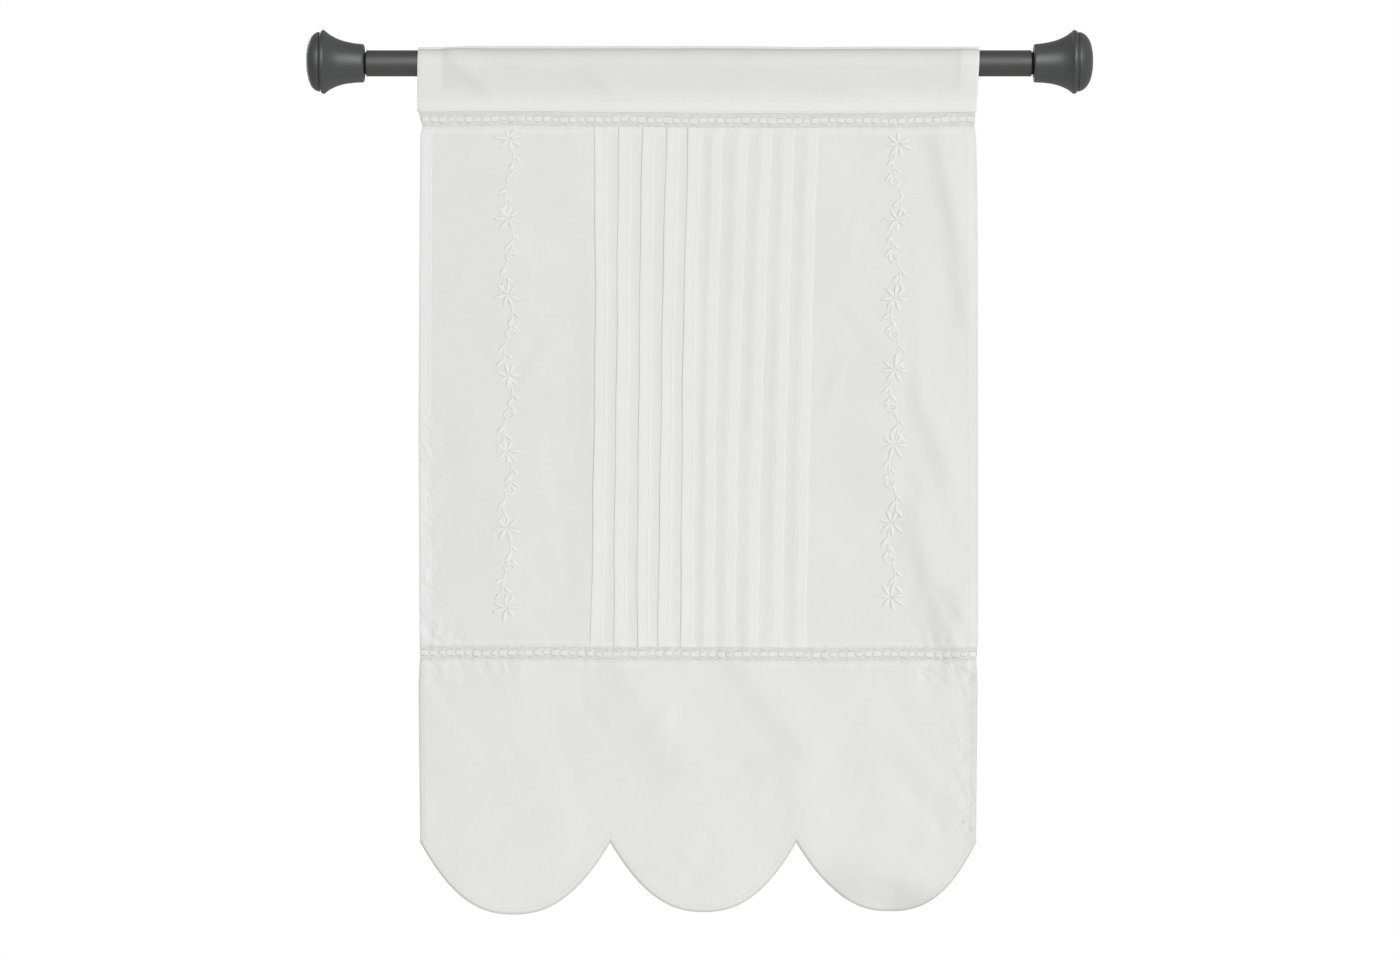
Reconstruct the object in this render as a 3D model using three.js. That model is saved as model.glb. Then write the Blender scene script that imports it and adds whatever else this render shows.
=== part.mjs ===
// Cafe curtain of white cotton hanging on its rod: a heading sewn into a rod pocket, a panel with ten pressed
// tucks and a scalloped valance, joined by two lace insertions. The rod has a bell-shaped cap on each end.
// Millimetres, +Z up, the front facing -Y, the origin on the rod's axis at the middle of its length.
import * as THREE from "three";
import { mergeVertices } from "three/addons/utils/BufferGeometryUtils.js";

// Rod and end caps
const ROD_RADIUS = 10.5;
const ROD_SIDES = 36;
const REACH = 316.2; // from the middle of the rod to the end of a cap
const CAP_LENGTH = 47.5;
const CAP_SIDES = 28;
const SOCKET = { depth: 26, chamfer: 2 }; // the blind hole that takes the rod's end
const CURVE_STEPS = 7; // facets along the dome and along the flare
// Sections of a cap by radius and distance from its mouth, from its flat end disc back to its mouth
const CAP_DOME = [
  { radius: 8, along: CAP_LENGTH },
  { radius: 12.2, along: 46.6 },
  { radius: 16.6, along: 44.7 },
  { radius: 20.9, along: 41.6 },
  { radius: 23.8, along: 37.2 },
];
const CAP_GROOVE = [{ radius: 23.2, along: 35.8 }];
// The bead is an arc round its middle, turned between two shares of a half circle
const CAP_BEAD = { radius: 23.2, along: 33, size: 2.4, from: 0.36, to: -0.35, steps: 4 };
const CAP_FLARE = [
  { radius: 23.6, along: 29.8 },
  { radius: 21.6, along: 26.9 },
  { radius: 19, along: 21.6 },
  { radius: 17, along: 14.9 },
  { radius: 15.8, along: 7 },
  { radius: 15.5, along: 2.2 },
];
const CAP_LIP = [
  { radius: 14.9, along: 0.6 },
  { radius: 13.2, along: 0 },
];

// Cloth
const CLOTH = 1; // thickness of one layer
const HEM = 1.6; // thickness where a hem is turned
const GAP = 0.3; // between pieces, and between folded layers
const SIDE_HEM = 9; // width of the panel's side hems
const NARROW_HEM = 5; // width of the hem round the valance
const STEP = 0.4; // width over which a hem's thickness changes
const SAME_PLACE = 1e-3; // corners closer than this are one corner

// Heights of the seams between the pieces, from the rod's axis
const TOP_CREASE = 14;
const POCKET_END = -29.3; // where the two layers of the heading are sewn together
const HEADING_END = -39.3;
const UPPER_LACE_END = -51.2;
const PANEL_END = -468.6;
const LOWER_LACE_END = -479.8;

// Heading: the pocket's two layers lie on the rod's front and back and meet in a crease above it
const POCKET_RADIUS = ROD_RADIUS + 0.4;
const SEAM_HALF = 1.2; // half the thickness of the sewn strip below the pocket
const HEADING_STEPS = 18;
const ARC_STEPS = 4; // pairs of facets on each arc of the pocket
const HEADING_ENDS = {
  left: { top: -225.2, bottom: -226.4 },
  right: { top: 225.2, bottom: 223 },
};
// How far the top crease sags, by share of the heading's length from the left
const CREASE_SAG = [
  { at: 0, sag: 0.9 },
  { at: 0.06, sag: 0 },
  { at: 0.58, sag: 0.1 },
  { at: 0.72, sag: 0.9 },
  { at: 0.85, sag: 0.4 },
  { at: 1, sag: 0.6 },
];

// Side edges of the cloth below the heading, from the top down
const SIDE_EDGES = [
  { z: -38.3, left: -225.6, right: 222.4 },
  { z: -51.6, left: -221.9, right: 221.2 },
  { z: -58, left: -223.6, right: 222.7 },
  { z: -110, left: -224.2, right: 223.8 },
  { z: -300, left: -225.2, right: 224.4 },
  { z: -462, left: -224.3, right: 224.1 },
  { z: -479, left: -224.1, right: 222.8 },
  { z: -500, left: -225.2, right: 224 },
  { z: -628, left: -223.8, right: 222.7 },
];

// Soft folds of the hanging cloth: a line down each ridge or trough, how far it bows to the right, its widths on
// its left and on its right, and its rise to the front
const SOFT_FOLDS = [
  { x0: 190, z0: -48, x1: 215.3, z1: -200, bow: 3, left: 8.5, right: 16, rise: 2.7 },
  { x0: 170, z0: -190, x1: 166, z1: -330, bow: 0, left: 40, right: 24, rise: 1.8 },
  { x0: 179, z0: -264, x1: 211, z1: -372, bow: -1.5, left: 8, right: 18, rise: 1.3 },
  { x0: 187, z0: -288, x1: 203, z1: -326, bow: 0, left: 8.5, right: 14, rise: 1.8 },
  { x0: 179, z0: -366, x1: 196, z1: -446, bow: -2, left: 14, right: 30, rise: 3.6 },
  { x0: 213, z0: -432, x1: 214, z1: -476, bow: 0, left: 17, right: 12, rise: 5 },
  { x0: -80, z0: -235, x1: -82, z1: -378, bow: 0, left: 14, right: 60, rise: 1.6 },
  { x0: -160, z0: -150, x1: -150, z1: -440, bow: 0, left: 45, right: 45, rise: 1 },
  { x0: -208, z0: -280, x1: -212, z1: -430, bow: 0, left: 12, right: 12, rise: -0.8 },
  { x0: -58, z0: -484, x1: -16, z1: -566, bow: 0, left: 20, right: 24, rise: 2.2 },
  { x0: 32, z0: -478, x1: 88, z1: -550, bow: 0, left: 13, right: 20, rise: 1.9 },
  { x0: 78, z0: -560, x1: 88, z1: -618, bow: 0, left: 14, right: 22, rise: 1.3 },
  { x0: -110, z0: -600, x1: -200, z1: -560, bow: 0, left: 28, right: 28, rise: 0.8 },
  { x0: -60, z0: -650, x1: -150, z1: -690, bow: 0, left: 24, right: 24, rise: -1.2 },
  { x0: 102, z0: -677, x1: 182, z1: -706, bow: 0, left: 26, right: 26, rise: -16 },
  { x0: 158, z0: -684, x1: 214, z1: -698, bow: 0, left: 20, right: 22, rise: -7 },
];
const FOLDS_BEGIN = -40; // the folds grow from here
const FOLDS_FULL = -72; // to here, where they have their whole depth

// Tucks: which way each fold faces, and where its folded edge lies at the top, the middle and the bottom
const TUCK_DEPTH = 8.6;
const TUCK_TURN = 0.9; // how far past the stitches the upper layer stays level
const TUCK_FOOT = 3.6; // where it has come down to the panel again
const TUCK_HEIGHTS = { top: -54, middle: -253, bottom: -431 };
const LEFT = 1; // the stitches lie to the right of the folded edge
const RIGHT = -1; // they lie to its left
const TUCKS = [
  { faces: LEFT, top: -83.8, middle: -83.6, bottom: -86.4 },
  { faces: LEFT, top: -64.1, middle: -66.3, bottom: -68.1 },
  { faces: LEFT, top: -45.3, middle: -48.1, bottom: -49.3 },
  { faces: LEFT, top: -26, middle: -30, bottom: -32.3 },
  { faces: LEFT, top: -8.6, middle: -12.8, bottom: -14.4 },
  { faces: RIGHT, top: 19, middle: 14.4, bottom: 12.2 },
  { faces: RIGHT, top: 39.9, middle: 33, bottom: 29.2 },
  { faces: RIGHT, top: 59, middle: 51.6, bottom: 48 },
  { faces: RIGHT, top: 76.9, middle: 71.2, bottom: 67.5 },
  { faces: RIGHT, top: 95.8, middle: 89.8, bottom: 86.7 },
];
const PANEL_ROWS = 16;
const PLAIN_COLUMNS = 11; // on the plain cloth at each side of the tucks

// Valance: the places of its cusps at rest, the depth of the scallop between each two, and where its lowest
// place lies, as a share of its half width from its middle
const CUSP_HEIGHT = -625.6;
const LOBES = [
  { from: -223.8, to: -71.2, depth: 58.6, low: -0.022 },
  { from: -71.2, to: 78.2, depth: 56.5, low: 0.006 },
  { from: 78.2, to: 222.7, depth: 57.5, low: 0.05 },
];
const LOBE_POWER = 2.33; // between a parabola and a half circle
const LOBE_COLUMNS = 10;
const VALANCE_ROWS = 9;

// Lace: fine net with a chain of raised round spots
const LACE = 1; // thickness of the net
const LACE_PITCH = 7;
const LACE_SPOT = { halfWidth: 2.3, halfHeight: 0.2, rise: 0.5 }; // the height as a share of the strip

const cotton = new THREE.MeshStandardMaterial({ color: 0xe4e4e0, roughness: 0.9, metalness: 0 });
const laceThread = new THREE.MeshStandardMaterial({ color: 0xdcddd6, roughness: 0.9, metalness: 0 });
const darkLacquer = new THREE.MeshStandardMaterial({ color: 0x565755, roughness: 0.45, metalness: 0.3 });
const darkPlastic = new THREE.MeshStandardMaterial({ color: 0x5a5b59, roughness: 0.4, metalness: 0 });

const { lerp, smoothstep, clamp } = THREE.MathUtils;

// Reads a column of a table at a place, in a straight line between the two rows around it.
function readTable(table, key, column, place) {
  const rising = table.at(-1)[key] > table[0][key];
  const after = table.findIndex((row) => (rising ? row[key] >= place : row[key] <= place));
  if (after <= 0) return (after === 0 ? table[0] : table.at(-1))[column];
  const [above, below] = [table[after - 1], table[after]];
  return lerp(above[column], below[column], (place - above[key]) / (below[key] - above[key]));
}

const leftEdge = (z) => readTable(SIDE_EDGES, "z", "left", z);
const rightEdge = (z) => readTable(SIDE_EDGES, "z", "right", z);

// Depth of the hanging cloth's middle surface: the sum of its soft folds. Each is a bell curve across its bowed
// line and dies out past the line's ends over the mean of its two widths.
function hangingDepth(x, z) {
  const grown = smoothstep(FOLDS_BEGIN - z, 0, FOLDS_BEGIN - FOLDS_FULL);
  const rises = SOFT_FOLDS.map(({ x0, z0, x1, z1, bow, left, right, rise }) => {
    const [dx, dz] = [x1 - x0, z1 - z0];
    const length = Math.hypot(dx, dz);
    const along = ((x - x0) * dx + (z - z0) * dz) / length;
    const share = clamp(along / length, 0, 1);
    const across = ((z - z0) * dx - (x - x0) * dz) / length - 4 * bow * share * (1 - share);
    const width = across < 0 ? left : right;
    const past = (2 * (along - share * length)) / (left + right);
    return rise * Math.exp(-((across / width) ** 2) - past ** 2);
  });
  return -grown * rises.reduce((sum, rise) => sum + rise, 0);
}

// Leaves only the places of the corners, each once, with flat normals worked out again.
function closedGeometry(geometry) {
  geometry.deleteAttribute("uv");
  geometry.deleteAttribute("normal");
  const merged = mergeVertices(geometry, SAME_PLACE);
  merged.computeVertexNormals();
  return merged;
}

// Moves every corner of a geometry to where move(x, y, z) says.
function reshape(geometry, move) {
  const place = geometry.attributes.position;
  for (let i = 0; i < place.count; i += 1) {
    place.setXYZ(i, ...move(place.getX(i), place.getY(i), place.getZ(i)));
  }
  return geometry;
}

// Closes a front and a back set of points, joined by the same triangles, into one thin solid with a wall
// round every open edge.
function thickened(front, back, triangles) {
  const count = front.length;
  const edges = new Set(triangles.flatMap(([a, b, c]) => [`${a} ${b}`, `${b} ${c}`, `${c} ${a}`]));
  const faces = triangles.flatMap(([a, b, c]) => [a, b, c, count + a, count + c, count + b]);
  for (const edge of edges) {
    const [from, to] = edge.split(" ").map(Number);
    if (!edges.has(`${to} ${from}`)) faces.push(to, from, count + from, to, count + from, count + to);
  }
  const geometry = new THREE.BufferGeometry();
  geometry.setAttribute("position", new THREE.Float32BufferAttribute([...front, ...back].flat(), 3));
  geometry.setIndex(faces);
  geometry.computeVertexNormals();
  return geometry;
}

// Closes two grids of points, rows from the top down and columns from the left, into one thin solid.
function closedSheet(front, back) {
  const columns = front[0].length;
  const triangles = [];
  for (let row = 0; row < front.length - 1; row += 1) {
    for (let column = 0; column < columns - 1; column += 1) {
      const [upper, lower] = [row * columns + column, (row + 1) * columns + column];
      triangles.push([upper, lower, lower + 1], [upper, lower + 1, upper + 1]);
    }
  }
  return thickened(front.flat(), back.flat(), triangles);
}

function rod() {
  const length = 2 * (REACH - CAP_LENGTH + SOCKET.depth - GAP);
  return new THREE.CylinderGeometry(ROD_RADIUS, ROD_RADIUS, length, ROD_SIDES).rotateZ(Math.PI / 2);
}

// Profile of a cap as (radius, distance from its mouth), from the middle of its end round to the socket.
function capProfile() {
  const point = ({ radius, along }) => new THREE.Vector2(radius, along);
  const smooth = (sections) => new THREE.SplineCurve(sections.map(point)).getPoints(CURVE_STEPS);
  const { radius, along, size, from, to, steps } = CAP_BEAD;
  const bead = Array.from({ length: steps + 1 }, (_, step) => {
    const turn = lerp(from, to, step / steps) * Math.PI;
    return { radius: radius + size * Math.cos(turn), along: along + size * Math.sin(turn) };
  });
  const wall = ROD_RADIUS + GAP;
  return [
    point({ radius: 0, along: CAP_LENGTH }),
    ...smooth(CAP_DOME),
    ...CAP_GROOVE.map(point),
    ...bead.map(point),
    ...smooth(CAP_FLARE),
    ...CAP_LIP.map(point),
    point({ radius: wall, along: SOCKET.chamfer }),
    point({ radius: wall, along: SOCKET.depth }),
    point({ radius: 0, along: SOCKET.depth }),
  ];
}

// A cap is its profile turned round the rod's axis; side is -1 for the left end and 1 for the right.
function endCap(side) {
  const turned = closedGeometry(new THREE.LatheGeometry(capProfile().reverse(), CAP_SIDES));
  return turned.rotateZ((-side * Math.PI) / 2).translate(side * (REACH - CAP_LENGTH), 0, 0);
}

// One outline of the pocket in the YZ plane, up its back and down its front: tangents from a foot and from a
// crease to an arc on each side, and below the foot a straight tail.
function pocketOutline(path, radius, crease, foot, tail) {
  const upper = Math.acos(radius / crease);
  const reach = Math.hypot(foot.half, foot.z);
  const lower = Math.PI - Math.atan2(foot.half, -foot.z) - Math.acos(radius / reach);
  const up = Math.PI / 2;
  path.moveTo(foot.half, tail);
  if (tail < foot.z) path.lineTo(foot.half, foot.z);
  path.absarc(0, 0, radius, up - lower, up - upper, false);
  path.lineTo(0, crease);
  path.absarc(0, 0, radius, up + upper, up + lower, false);
  path.lineTo(-foot.half, foot.z);
  if (tail < foot.z) path.lineTo(-foot.half, tail);
  return path;
}

// The pocket's section carried along the rod, its crease sagging and its ends cut a little out of square.
function heading() {
  const outer = POCKET_RADIUS + CLOTH;
  const innerCrease = (TOP_CREASE * POCKET_RADIUS) / outer;
  const outerFoot = { half: SEAM_HALF, z: POCKET_END - GAP };
  const innerFoot = { half: GAP / 2, z: POCKET_END };
  const section = pocketOutline(new THREE.Shape(), outer, TOP_CREASE, outerFoot, HEADING_END);
  section.holes.push(pocketOutline(new THREE.Path(), POCKET_RADIUS, innerCrease, innerFoot, POCKET_END));
  const options = { depth: 1, steps: HEADING_STEPS, curveSegments: ARC_STEPS, bevelEnabled: false };
  const straight = new THREE.ExtrudeGeometry(section, options);
  const { left, right } = HEADING_ENDS;
  return closedGeometry(
    reshape(straight, (depth, height, along) => {
      const down = (TOP_CREASE - height) / (TOP_CREASE - HEADING_END);
      const x = lerp(lerp(left.top, left.bottom, down), lerp(right.top, right.bottom, down), along);
      const sagging = smoothstep(height, POCKET_RADIUS, TOP_CREASE);
      return [x, depth, height - sagging * readTable(CREASE_SAG, "at", "sag", along)];
    }),
  );
}

// A strip with a chain of raised spots along its middle: a spot's flat top has four corners, as has the cell
// around it, so that the face of a cell is ten triangles.
function lace(top, bottom) {
  const cells = Math.floor((rightEdge(top) - leftEdge(top)) / LACE_PITCH);
  const middle = (top + bottom) / 2;
  const high = LACE_SPOT.halfHeight * (top - bottom);
  const place = (share, z) => lerp(leftEdge(z), rightEdge(z), share / cells);
  const corners = [];
  for (let cell = 0; cell <= cells; cell += 1) {
    for (const z of [top, bottom]) corners.push({ x: place(cell, z), z, rise: 0 });
  }
  const triangles = [];
  for (let cell = 0; cell < cells; cell += 1) {
    const x = place(cell + 0.5, middle);
    const [left, above, right, below] = [0, 1, 2, 3].map((turn) => corners.length + turn);
    const [topLeft, lowLeft, topRight, lowRight] = [0, 1, 2, 3].map((turn) => 2 * cell + turn);
    for (const [across, up] of [[-1, 0], [0, 1], [1, 0], [0, -1]]) {
      corners.push({ x: x + across * LACE_SPOT.halfWidth, z: middle + up * high, rise: LACE_SPOT.rise });
    }
    triangles.push(
      [topLeft, above, topRight],
      [topLeft, lowLeft, left],
      [topLeft, left, above],
      [lowLeft, below, left],
      [lowLeft, lowRight, below],
      [topRight, above, right],
      [topRight, right, lowRight],
      [lowRight, right, below],
      [left, below, right],
      [left, right, above],
    );
  }
  const lay = (side) =>
    corners.map(({ x, z, rise }) => [x, hangingDepth(x, z) - (side * LACE) / 2 - (side > 0 ? rise : 0), z]);
  return thickened(lay(1), lay(-1), triangles);
}

// Place of a tuck's folded edge at a height: the parabola through its three places in the table.
function foldedEdge(tuck, z) {
  const { top, middle, bottom } = TUCK_HEIGHTS;
  const share = (at, a, b) => ((z - a) * (z - b)) / ((at - a) * (at - b));
  return (
    tuck.top * share(top, middle, bottom) +
    tuck.middle * share(middle, top, bottom) +
    tuck.bottom * share(bottom, top, middle)
  );
}

// One tuck's run of (x, height over the panel): under the fold, round it, and back over itself.
function tuckRun(tuck, z) {
  const layer = CLOTH + GAP;
  const edge = foldedEdge(tuck, z) + (tuck.faces * CLOTH) / 2;
  const stitches = edge + tuck.faces * TUCK_DEPTH;
  const run = [
    { x: stitches, high: 0 },
    { x: stitches, high: layer },
    { x: edge, high: layer },
    { x: edge, high: 2 * layer },
    { x: stitches + tuck.faces * TUCK_TURN, high: 2 * layer },
    { x: stitches + tuck.faces * TUCK_FOOT, high: 0 },
  ];
  return tuck.faces === LEFT ? run : run.reverse();
}

// Plain cloth from one x to another, hemmed at its outer edge: the hem's step, then evenly spaced points.
function plainRun(outer, inner) {
  const way = Math.sign(inner - outer);
  const hemEnd = outer + way * (SIDE_HEM + STEP / 2);
  const run = [
    { x: outer, high: 0, thick: HEM },
    { x: hemEnd - way * STEP, high: 0, thick: HEM },
    { x: hemEnd, high: 0 },
  ];
  for (let step = 1; step < PLAIN_COLUMNS; step += 1) {
    run.push({ x: lerp(hemEnd, inner, step / PLAIN_COLUMNS), high: 0 });
  }
  return way > 0 ? run : run.reverse();
}

// Offsets a run of points to the front (side 1) or back (side -1) by half its thickness, mitred at corners.
function offsetRun(run, side) {
  const normals = run.slice(1).map((next, i) => {
    const along = new THREE.Vector2(next.x - run[i].x, next.high - run[i].high).normalize();
    return new THREE.Vector2(-along.y, along.x);
  });
  return run.map(({ x, high, thick = CLOTH }, i) => {
    const before = normals[Math.max(i - 1, 0)];
    const after = normals[Math.min(i, normals.length - 1)];
    const mitre = before.clone().add(after).multiplyScalar(1 / (1 + before.dot(after)));
    return { x: x + (side * mitre.x * thick) / 2, high: high + (side * mitre.y * thick) / 2 };
  });
}

// The panel: at each height one run of hem, plain cloth, ten tucks, plain cloth and hem, given its thickness.
function mainPanel() {
  const rows = Array.from({ length: PANEL_ROWS }, (_, row) => {
    const z = lerp(UPPER_LACE_END - GAP, PANEL_END, row / (PANEL_ROWS - 1));
    const tucks = TUCKS.flatMap((tuck) => tuckRun(tuck, z));
    const run = [
      ...plainRun(leftEdge(z), tucks[0].x),
      ...tucks,
      ...plainRun(rightEdge(z), tucks.at(-1).x),
    ];
    const lay = ({ x, high }) => [x, hangingDepth(x, z) - high, z];
    return { front: offsetRun(run, 1).map(lay), back: offsetRun(run, -1).map(lay) };
  });
  return closedSheet(rows.map((row) => row.front), rows.map((row) => row.back));
}

// Height of the valance's lower edge under a place along its cusps' line.
function scallopEdge(x) {
  const lobe = LOBES.find(({ to }) => x <= to) ?? LOBES.at(-1);
  const share = clamp((2 * x - lobe.from - lobe.to) / (lobe.to - lobe.from), -1, 1);
  const fromLowest = share - lobe.low * (1 - share * share);
  return CUSP_HEIGHT - lobe.depth * (1 - Math.abs(fromLowest) ** LOBE_POWER);
}

// The valance's columns, as places along its cusps' line: closer towards each cusp, with the hems' steps.
function valanceColumns() {
  const columns = LOBES.flatMap(({ from, to }) =>
    Array.from({ length: LOBE_COLUMNS }, (_, step) => {
      const swing = Math.cos((Math.PI * step) / LOBE_COLUMNS);
      return (from + to) / 2 - ((to - from) / 2) * swing;
    }),
  );
  const [start, end] = [LOBES[0].from, LOBES.at(-1).to];
  const steps = [NARROW_HEM - STEP / 2, NARROW_HEM + STEP / 2];
  const hems = steps.flatMap((width) => [start + width, end - width]);
  return [...columns, ...hems, end].sort((a, b) => a - b);
}

// The valance: a grid between its straight top and its scallops, thicker along its hems.
function valance() {
  const [start, end] = [LOBES[0].from, LOBES.at(-1).to];
  const top = LOWER_LACE_END - GAP;
  const columns = valanceColumns();
  const rows = Array.from({ length: VALANCE_ROWS }, (_, row) => row / (VALANCE_ROWS - 1));
  const grid = (side) =>
    [...rows.slice(0, -1), "above hem", "hem", "edge"].map((row) =>
      columns.map((place) => {
        const bottom = scallopEdge(place);
        const hemTop = bottom + NARROW_HEM;
        const named = { "above hem": hemTop + STEP, hem: hemTop, edge: bottom };
        const z = named[row] ?? lerp(top, hemTop + STEP, row);
        const fromSide = Math.min(place - start, end - place);
        const hemmed = z <= hemTop || fromSide < NARROW_HEM;
        const x = lerp(leftEdge(z), rightEdge(z), (place - start) / (end - start));
        return [x, hangingDepth(x, z) - (side * (hemmed ? HEM : CLOTH)) / 2, z];
      }),
    );
  return closedSheet(grid(1), grid(-1));
}

const PIECES = [
  { name: "rod", shape: rod(), material: darkLacquer },
  { name: "end_cap_left", shape: endCap(-1), material: darkPlastic },
  { name: "end_cap_right", shape: endCap(1), material: darkPlastic },
  { name: "heading", shape: heading(), material: cotton },
  { name: "upper_lace", shape: lace(HEADING_END - GAP, UPPER_LACE_END), material: laceThread },
  { name: "main_panel", shape: mainPanel(), material: cotton },
  { name: "lower_lace", shape: lace(PANEL_END - GAP, LOWER_LACE_END), material: laceThread },
  { name: "valance", shape: valance(), material: cotton },
];

const curtain = new THREE.Group();
for (const { name, shape, material } of PIECES) {
  const mesh = new THREE.Mesh(shape, material);
  mesh.name = name;
  curtain.add(mesh);
}

export default curtain;
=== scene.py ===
"""White cotton cafe curtain hanging on its rod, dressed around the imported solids.

Sizes are in millimetres in the solids' frame: +X along the rod, the front facing -Y, +Z up. Every piece is a
surface of two parameters worked out as whole arrays and put into a mesh at the origin.
"""

import bmesh
import bpy
import numpy as np
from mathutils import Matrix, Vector


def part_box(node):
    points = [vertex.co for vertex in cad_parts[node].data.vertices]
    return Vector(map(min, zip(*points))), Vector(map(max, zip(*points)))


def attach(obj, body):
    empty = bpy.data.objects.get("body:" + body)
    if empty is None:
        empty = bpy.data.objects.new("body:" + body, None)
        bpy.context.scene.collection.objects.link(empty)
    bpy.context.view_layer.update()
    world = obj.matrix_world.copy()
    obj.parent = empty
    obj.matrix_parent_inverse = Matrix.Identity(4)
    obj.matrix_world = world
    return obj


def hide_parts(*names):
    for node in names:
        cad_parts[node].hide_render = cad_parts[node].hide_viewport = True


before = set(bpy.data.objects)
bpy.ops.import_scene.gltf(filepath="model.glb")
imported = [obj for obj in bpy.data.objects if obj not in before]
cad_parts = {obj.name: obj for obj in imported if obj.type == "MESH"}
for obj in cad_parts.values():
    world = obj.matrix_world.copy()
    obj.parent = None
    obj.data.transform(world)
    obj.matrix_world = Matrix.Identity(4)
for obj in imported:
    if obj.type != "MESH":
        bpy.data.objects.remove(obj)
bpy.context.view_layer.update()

MM = 0.001


def solid_span(node, axis):
    """Lowest and highest place of a solid along an axis (0, 1 or 2), in millimetres."""
    low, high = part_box(node)
    return low[axis] / MM, high[axis] / MM


# Rod and caps, as turned sections of (radius, distance from a cap's mouth)
ROD_RADIUS = solid_span("rod", 2)[1]
ROD_END = solid_span("rod", 0)[1]
REACH = solid_span("end_cap_right", 0)[1]
CAP_LENGTH = 47.5
MOUTH = REACH - CAP_LENGTH
NECK = {"radius": 9, "from": 1.6, "to": 1.3, "bevel": 0.2}  # the rod is narrower where it enters a cap
SOCKET = {"radius": 10.8, "depth": 26, "chamfer": 2}
CAP_DOME = [(8, 47.5), (13, 46.5), (17.3, 44.9), (20.9, 42.3), (22.9, 39.7), (23.8, 37.3), (23.9, 36.4)]
CAP_GROOVE = [(23.6, 36), (23.2, 35.75), (23.4, 35.5)]
CAP_TILT = 2  # degrees by which the caps' ends sit raised
CAP_BEAD = {"radius": 23.2, "along": 33, "size": 2.4, "from": 0.36, "to": -0.35}
CAP_FLARE = [(23.6, 29.8), (21.6, 26.9), (19, 21.6), (17, 14.9), (15.8, 7), (15.5, 2.2)]
CAP_LIP = [(15.4, 1.6), (15, 0.7), (14.3, 0.15), (13.2, 0), (12.6, 0.3)]
TURNED_SIDES = 72
TURNED_FLAT = 20  # millimetres on the flat for a radian round a turned piece

# Cloth
CLOTH = 0.22  # thickness of one layer
LAYER = 0.3  # spacing of the layers of a turned hem
EDGE_TURN = 0.5  # radius of the turn over the cloth's upper and lower edge
SIDE_HEM = 9
NARROW_HEM = 5  # round the valance
CURL = {"panel": 0.06, "valance": 0.6, "reach": 1.9}  # how far the outermost edge rolls to the back
TOP_ALLOWANCE = 6.5  # turned behind the panel's upper edge
LOW_ALLOWANCE = 3.5  # turned behind its lower edge
VALANCE_ALLOWANCE = (4, 2, 0.2)  # distances from the valance's upper edge of the rows turned behind it
PAINTED_EDGE_SHADE = {"width": 1.7, "left": 0.04, "right": 0.25, "scallop": 0.85}  # painted shade: a darker line along the cloth's outline, where its rolled edge turns from the light
PAINTED_RIGHT_SHADE = {"width": 13, "share": 0.2}  # painted shade: the valance is a little darker along its puckered right side
PAINTED_HEM_LIGHT = {"left": (1.3, 1.05), "right": (0.65, 0.1)}  # painted light: how much whiter the panel's hems are painted for their layers, top and bottom
PAINTED_LAYER_LIGHT = {"allowance": 0.6, "valance_top": 0.5, "heading_hem": 0.75, "pocket": 0.08}  # painted light: how much whiter other layers are painted
FADE = {"before": 0.6, "after": 0.4}  # distances from an allowance's raw edge over which its painted light ends
HEM_PUCKER = 0.15  # share of the fine puckers on cloth painted whiter

# Points on the cloth: across its plain parts, and down it
PLAIN_COLUMNS = 42
HEADING_COLUMNS = 110
LOBE_COLUMNS = 72
PANEL_ROWS = 112
VALANCE_ROWS = 84
BUNCHING = 0.06  # how far the rows draw together towards the upper and lower edge

# Heights of the seams
TOP_CREASE = solid_span("heading", 2)[1] - 0.2
HEADING_END = solid_span("heading", 2)[0]
LACE_SPANS = {name: solid_span(name, 2) for name in ("upper_lace", "lower_lace")}
PANEL_END, PANEL_TOP = solid_span("main_panel", 2)
VALANCE_TOP = solid_span("valance", 2)[1]

# Heading
CREASE_RIDGE = np.array([
    # y, z down the front of the top crease
    (-0.2, -0.12), (-0.3, -0.45), (-0.32, -1.1), (-0.4, -1.6), (-0.6, -1.9),
])
POCKET_RADIUS = 11.7
POCKET_FOOT = -29.6
POCKET_LOOSE = {"from": (-13, -9), "to": (26, 29)}  # depths below the rod's axis, where its cloth hangs free
POCKET_PINCH = {"shift": 13, "from": (14, 26)}  # depths over which the gathers of its seam come in
POCKET_PAINTED_LIGHT = (14, 33)  # depths over which it is painted whiter, as painted light
# Ripples' share of the panel's and their stretch, their shift at the back, mean dent, softness of the back
POCKET_SOFT = {"ripple": 0.8, "stretch": 0.7, "shift": 3, "dent": 0.15, "back": 0.55}
SEAM_HALF = 1.05
TAIL = {"front": -0.65, "back": 0.95, "turn": 0.28, "allowance": 5}  # the sewn strip's lower edge
HEADING_HEMS = {"left": 19, "right": 14}
CLEARANCE = 0.5  # how far its cloth can be dented before its hems would touch the rod
HEADING_ENDS = {"left": (-225.2, -226.4), "right": (225.2, 223)}  # at the top and at the bottom
SAG_FROM = 9  # height over the rod's axis above which the crease sags
CREASE_SAG = np.array([
    # share along, sag
    (0, 0.9), (0.06, 0), (0.58, 0.1), (0.72, 0.9), (0.85, 0.4), (1, 0.6),
])
DRAG_FOLDS = np.array([
    # x0, z0, x1, z1, bow, width on its left, width on its right, rise to the front
    (-198, 3, -173, -18, 0, 5, 15, 1.15),
    (-196.5, 12, -195.5, -8, 0, 6, 16, 0.9),
    (214, 9, 213.5, -14, 0, 5, 10, 0.9),
    (-88, -8, -72, -19, 0, 6, 12, 0.7),
    (-4, 11, 12, 4, 0, 4, 9, 0.7),
    (44, 0, 124, -20, 0, 8, 12, 0.6),
    (-146, 0, -106, -12, 0, 7, 12, 0.5),
])

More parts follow.
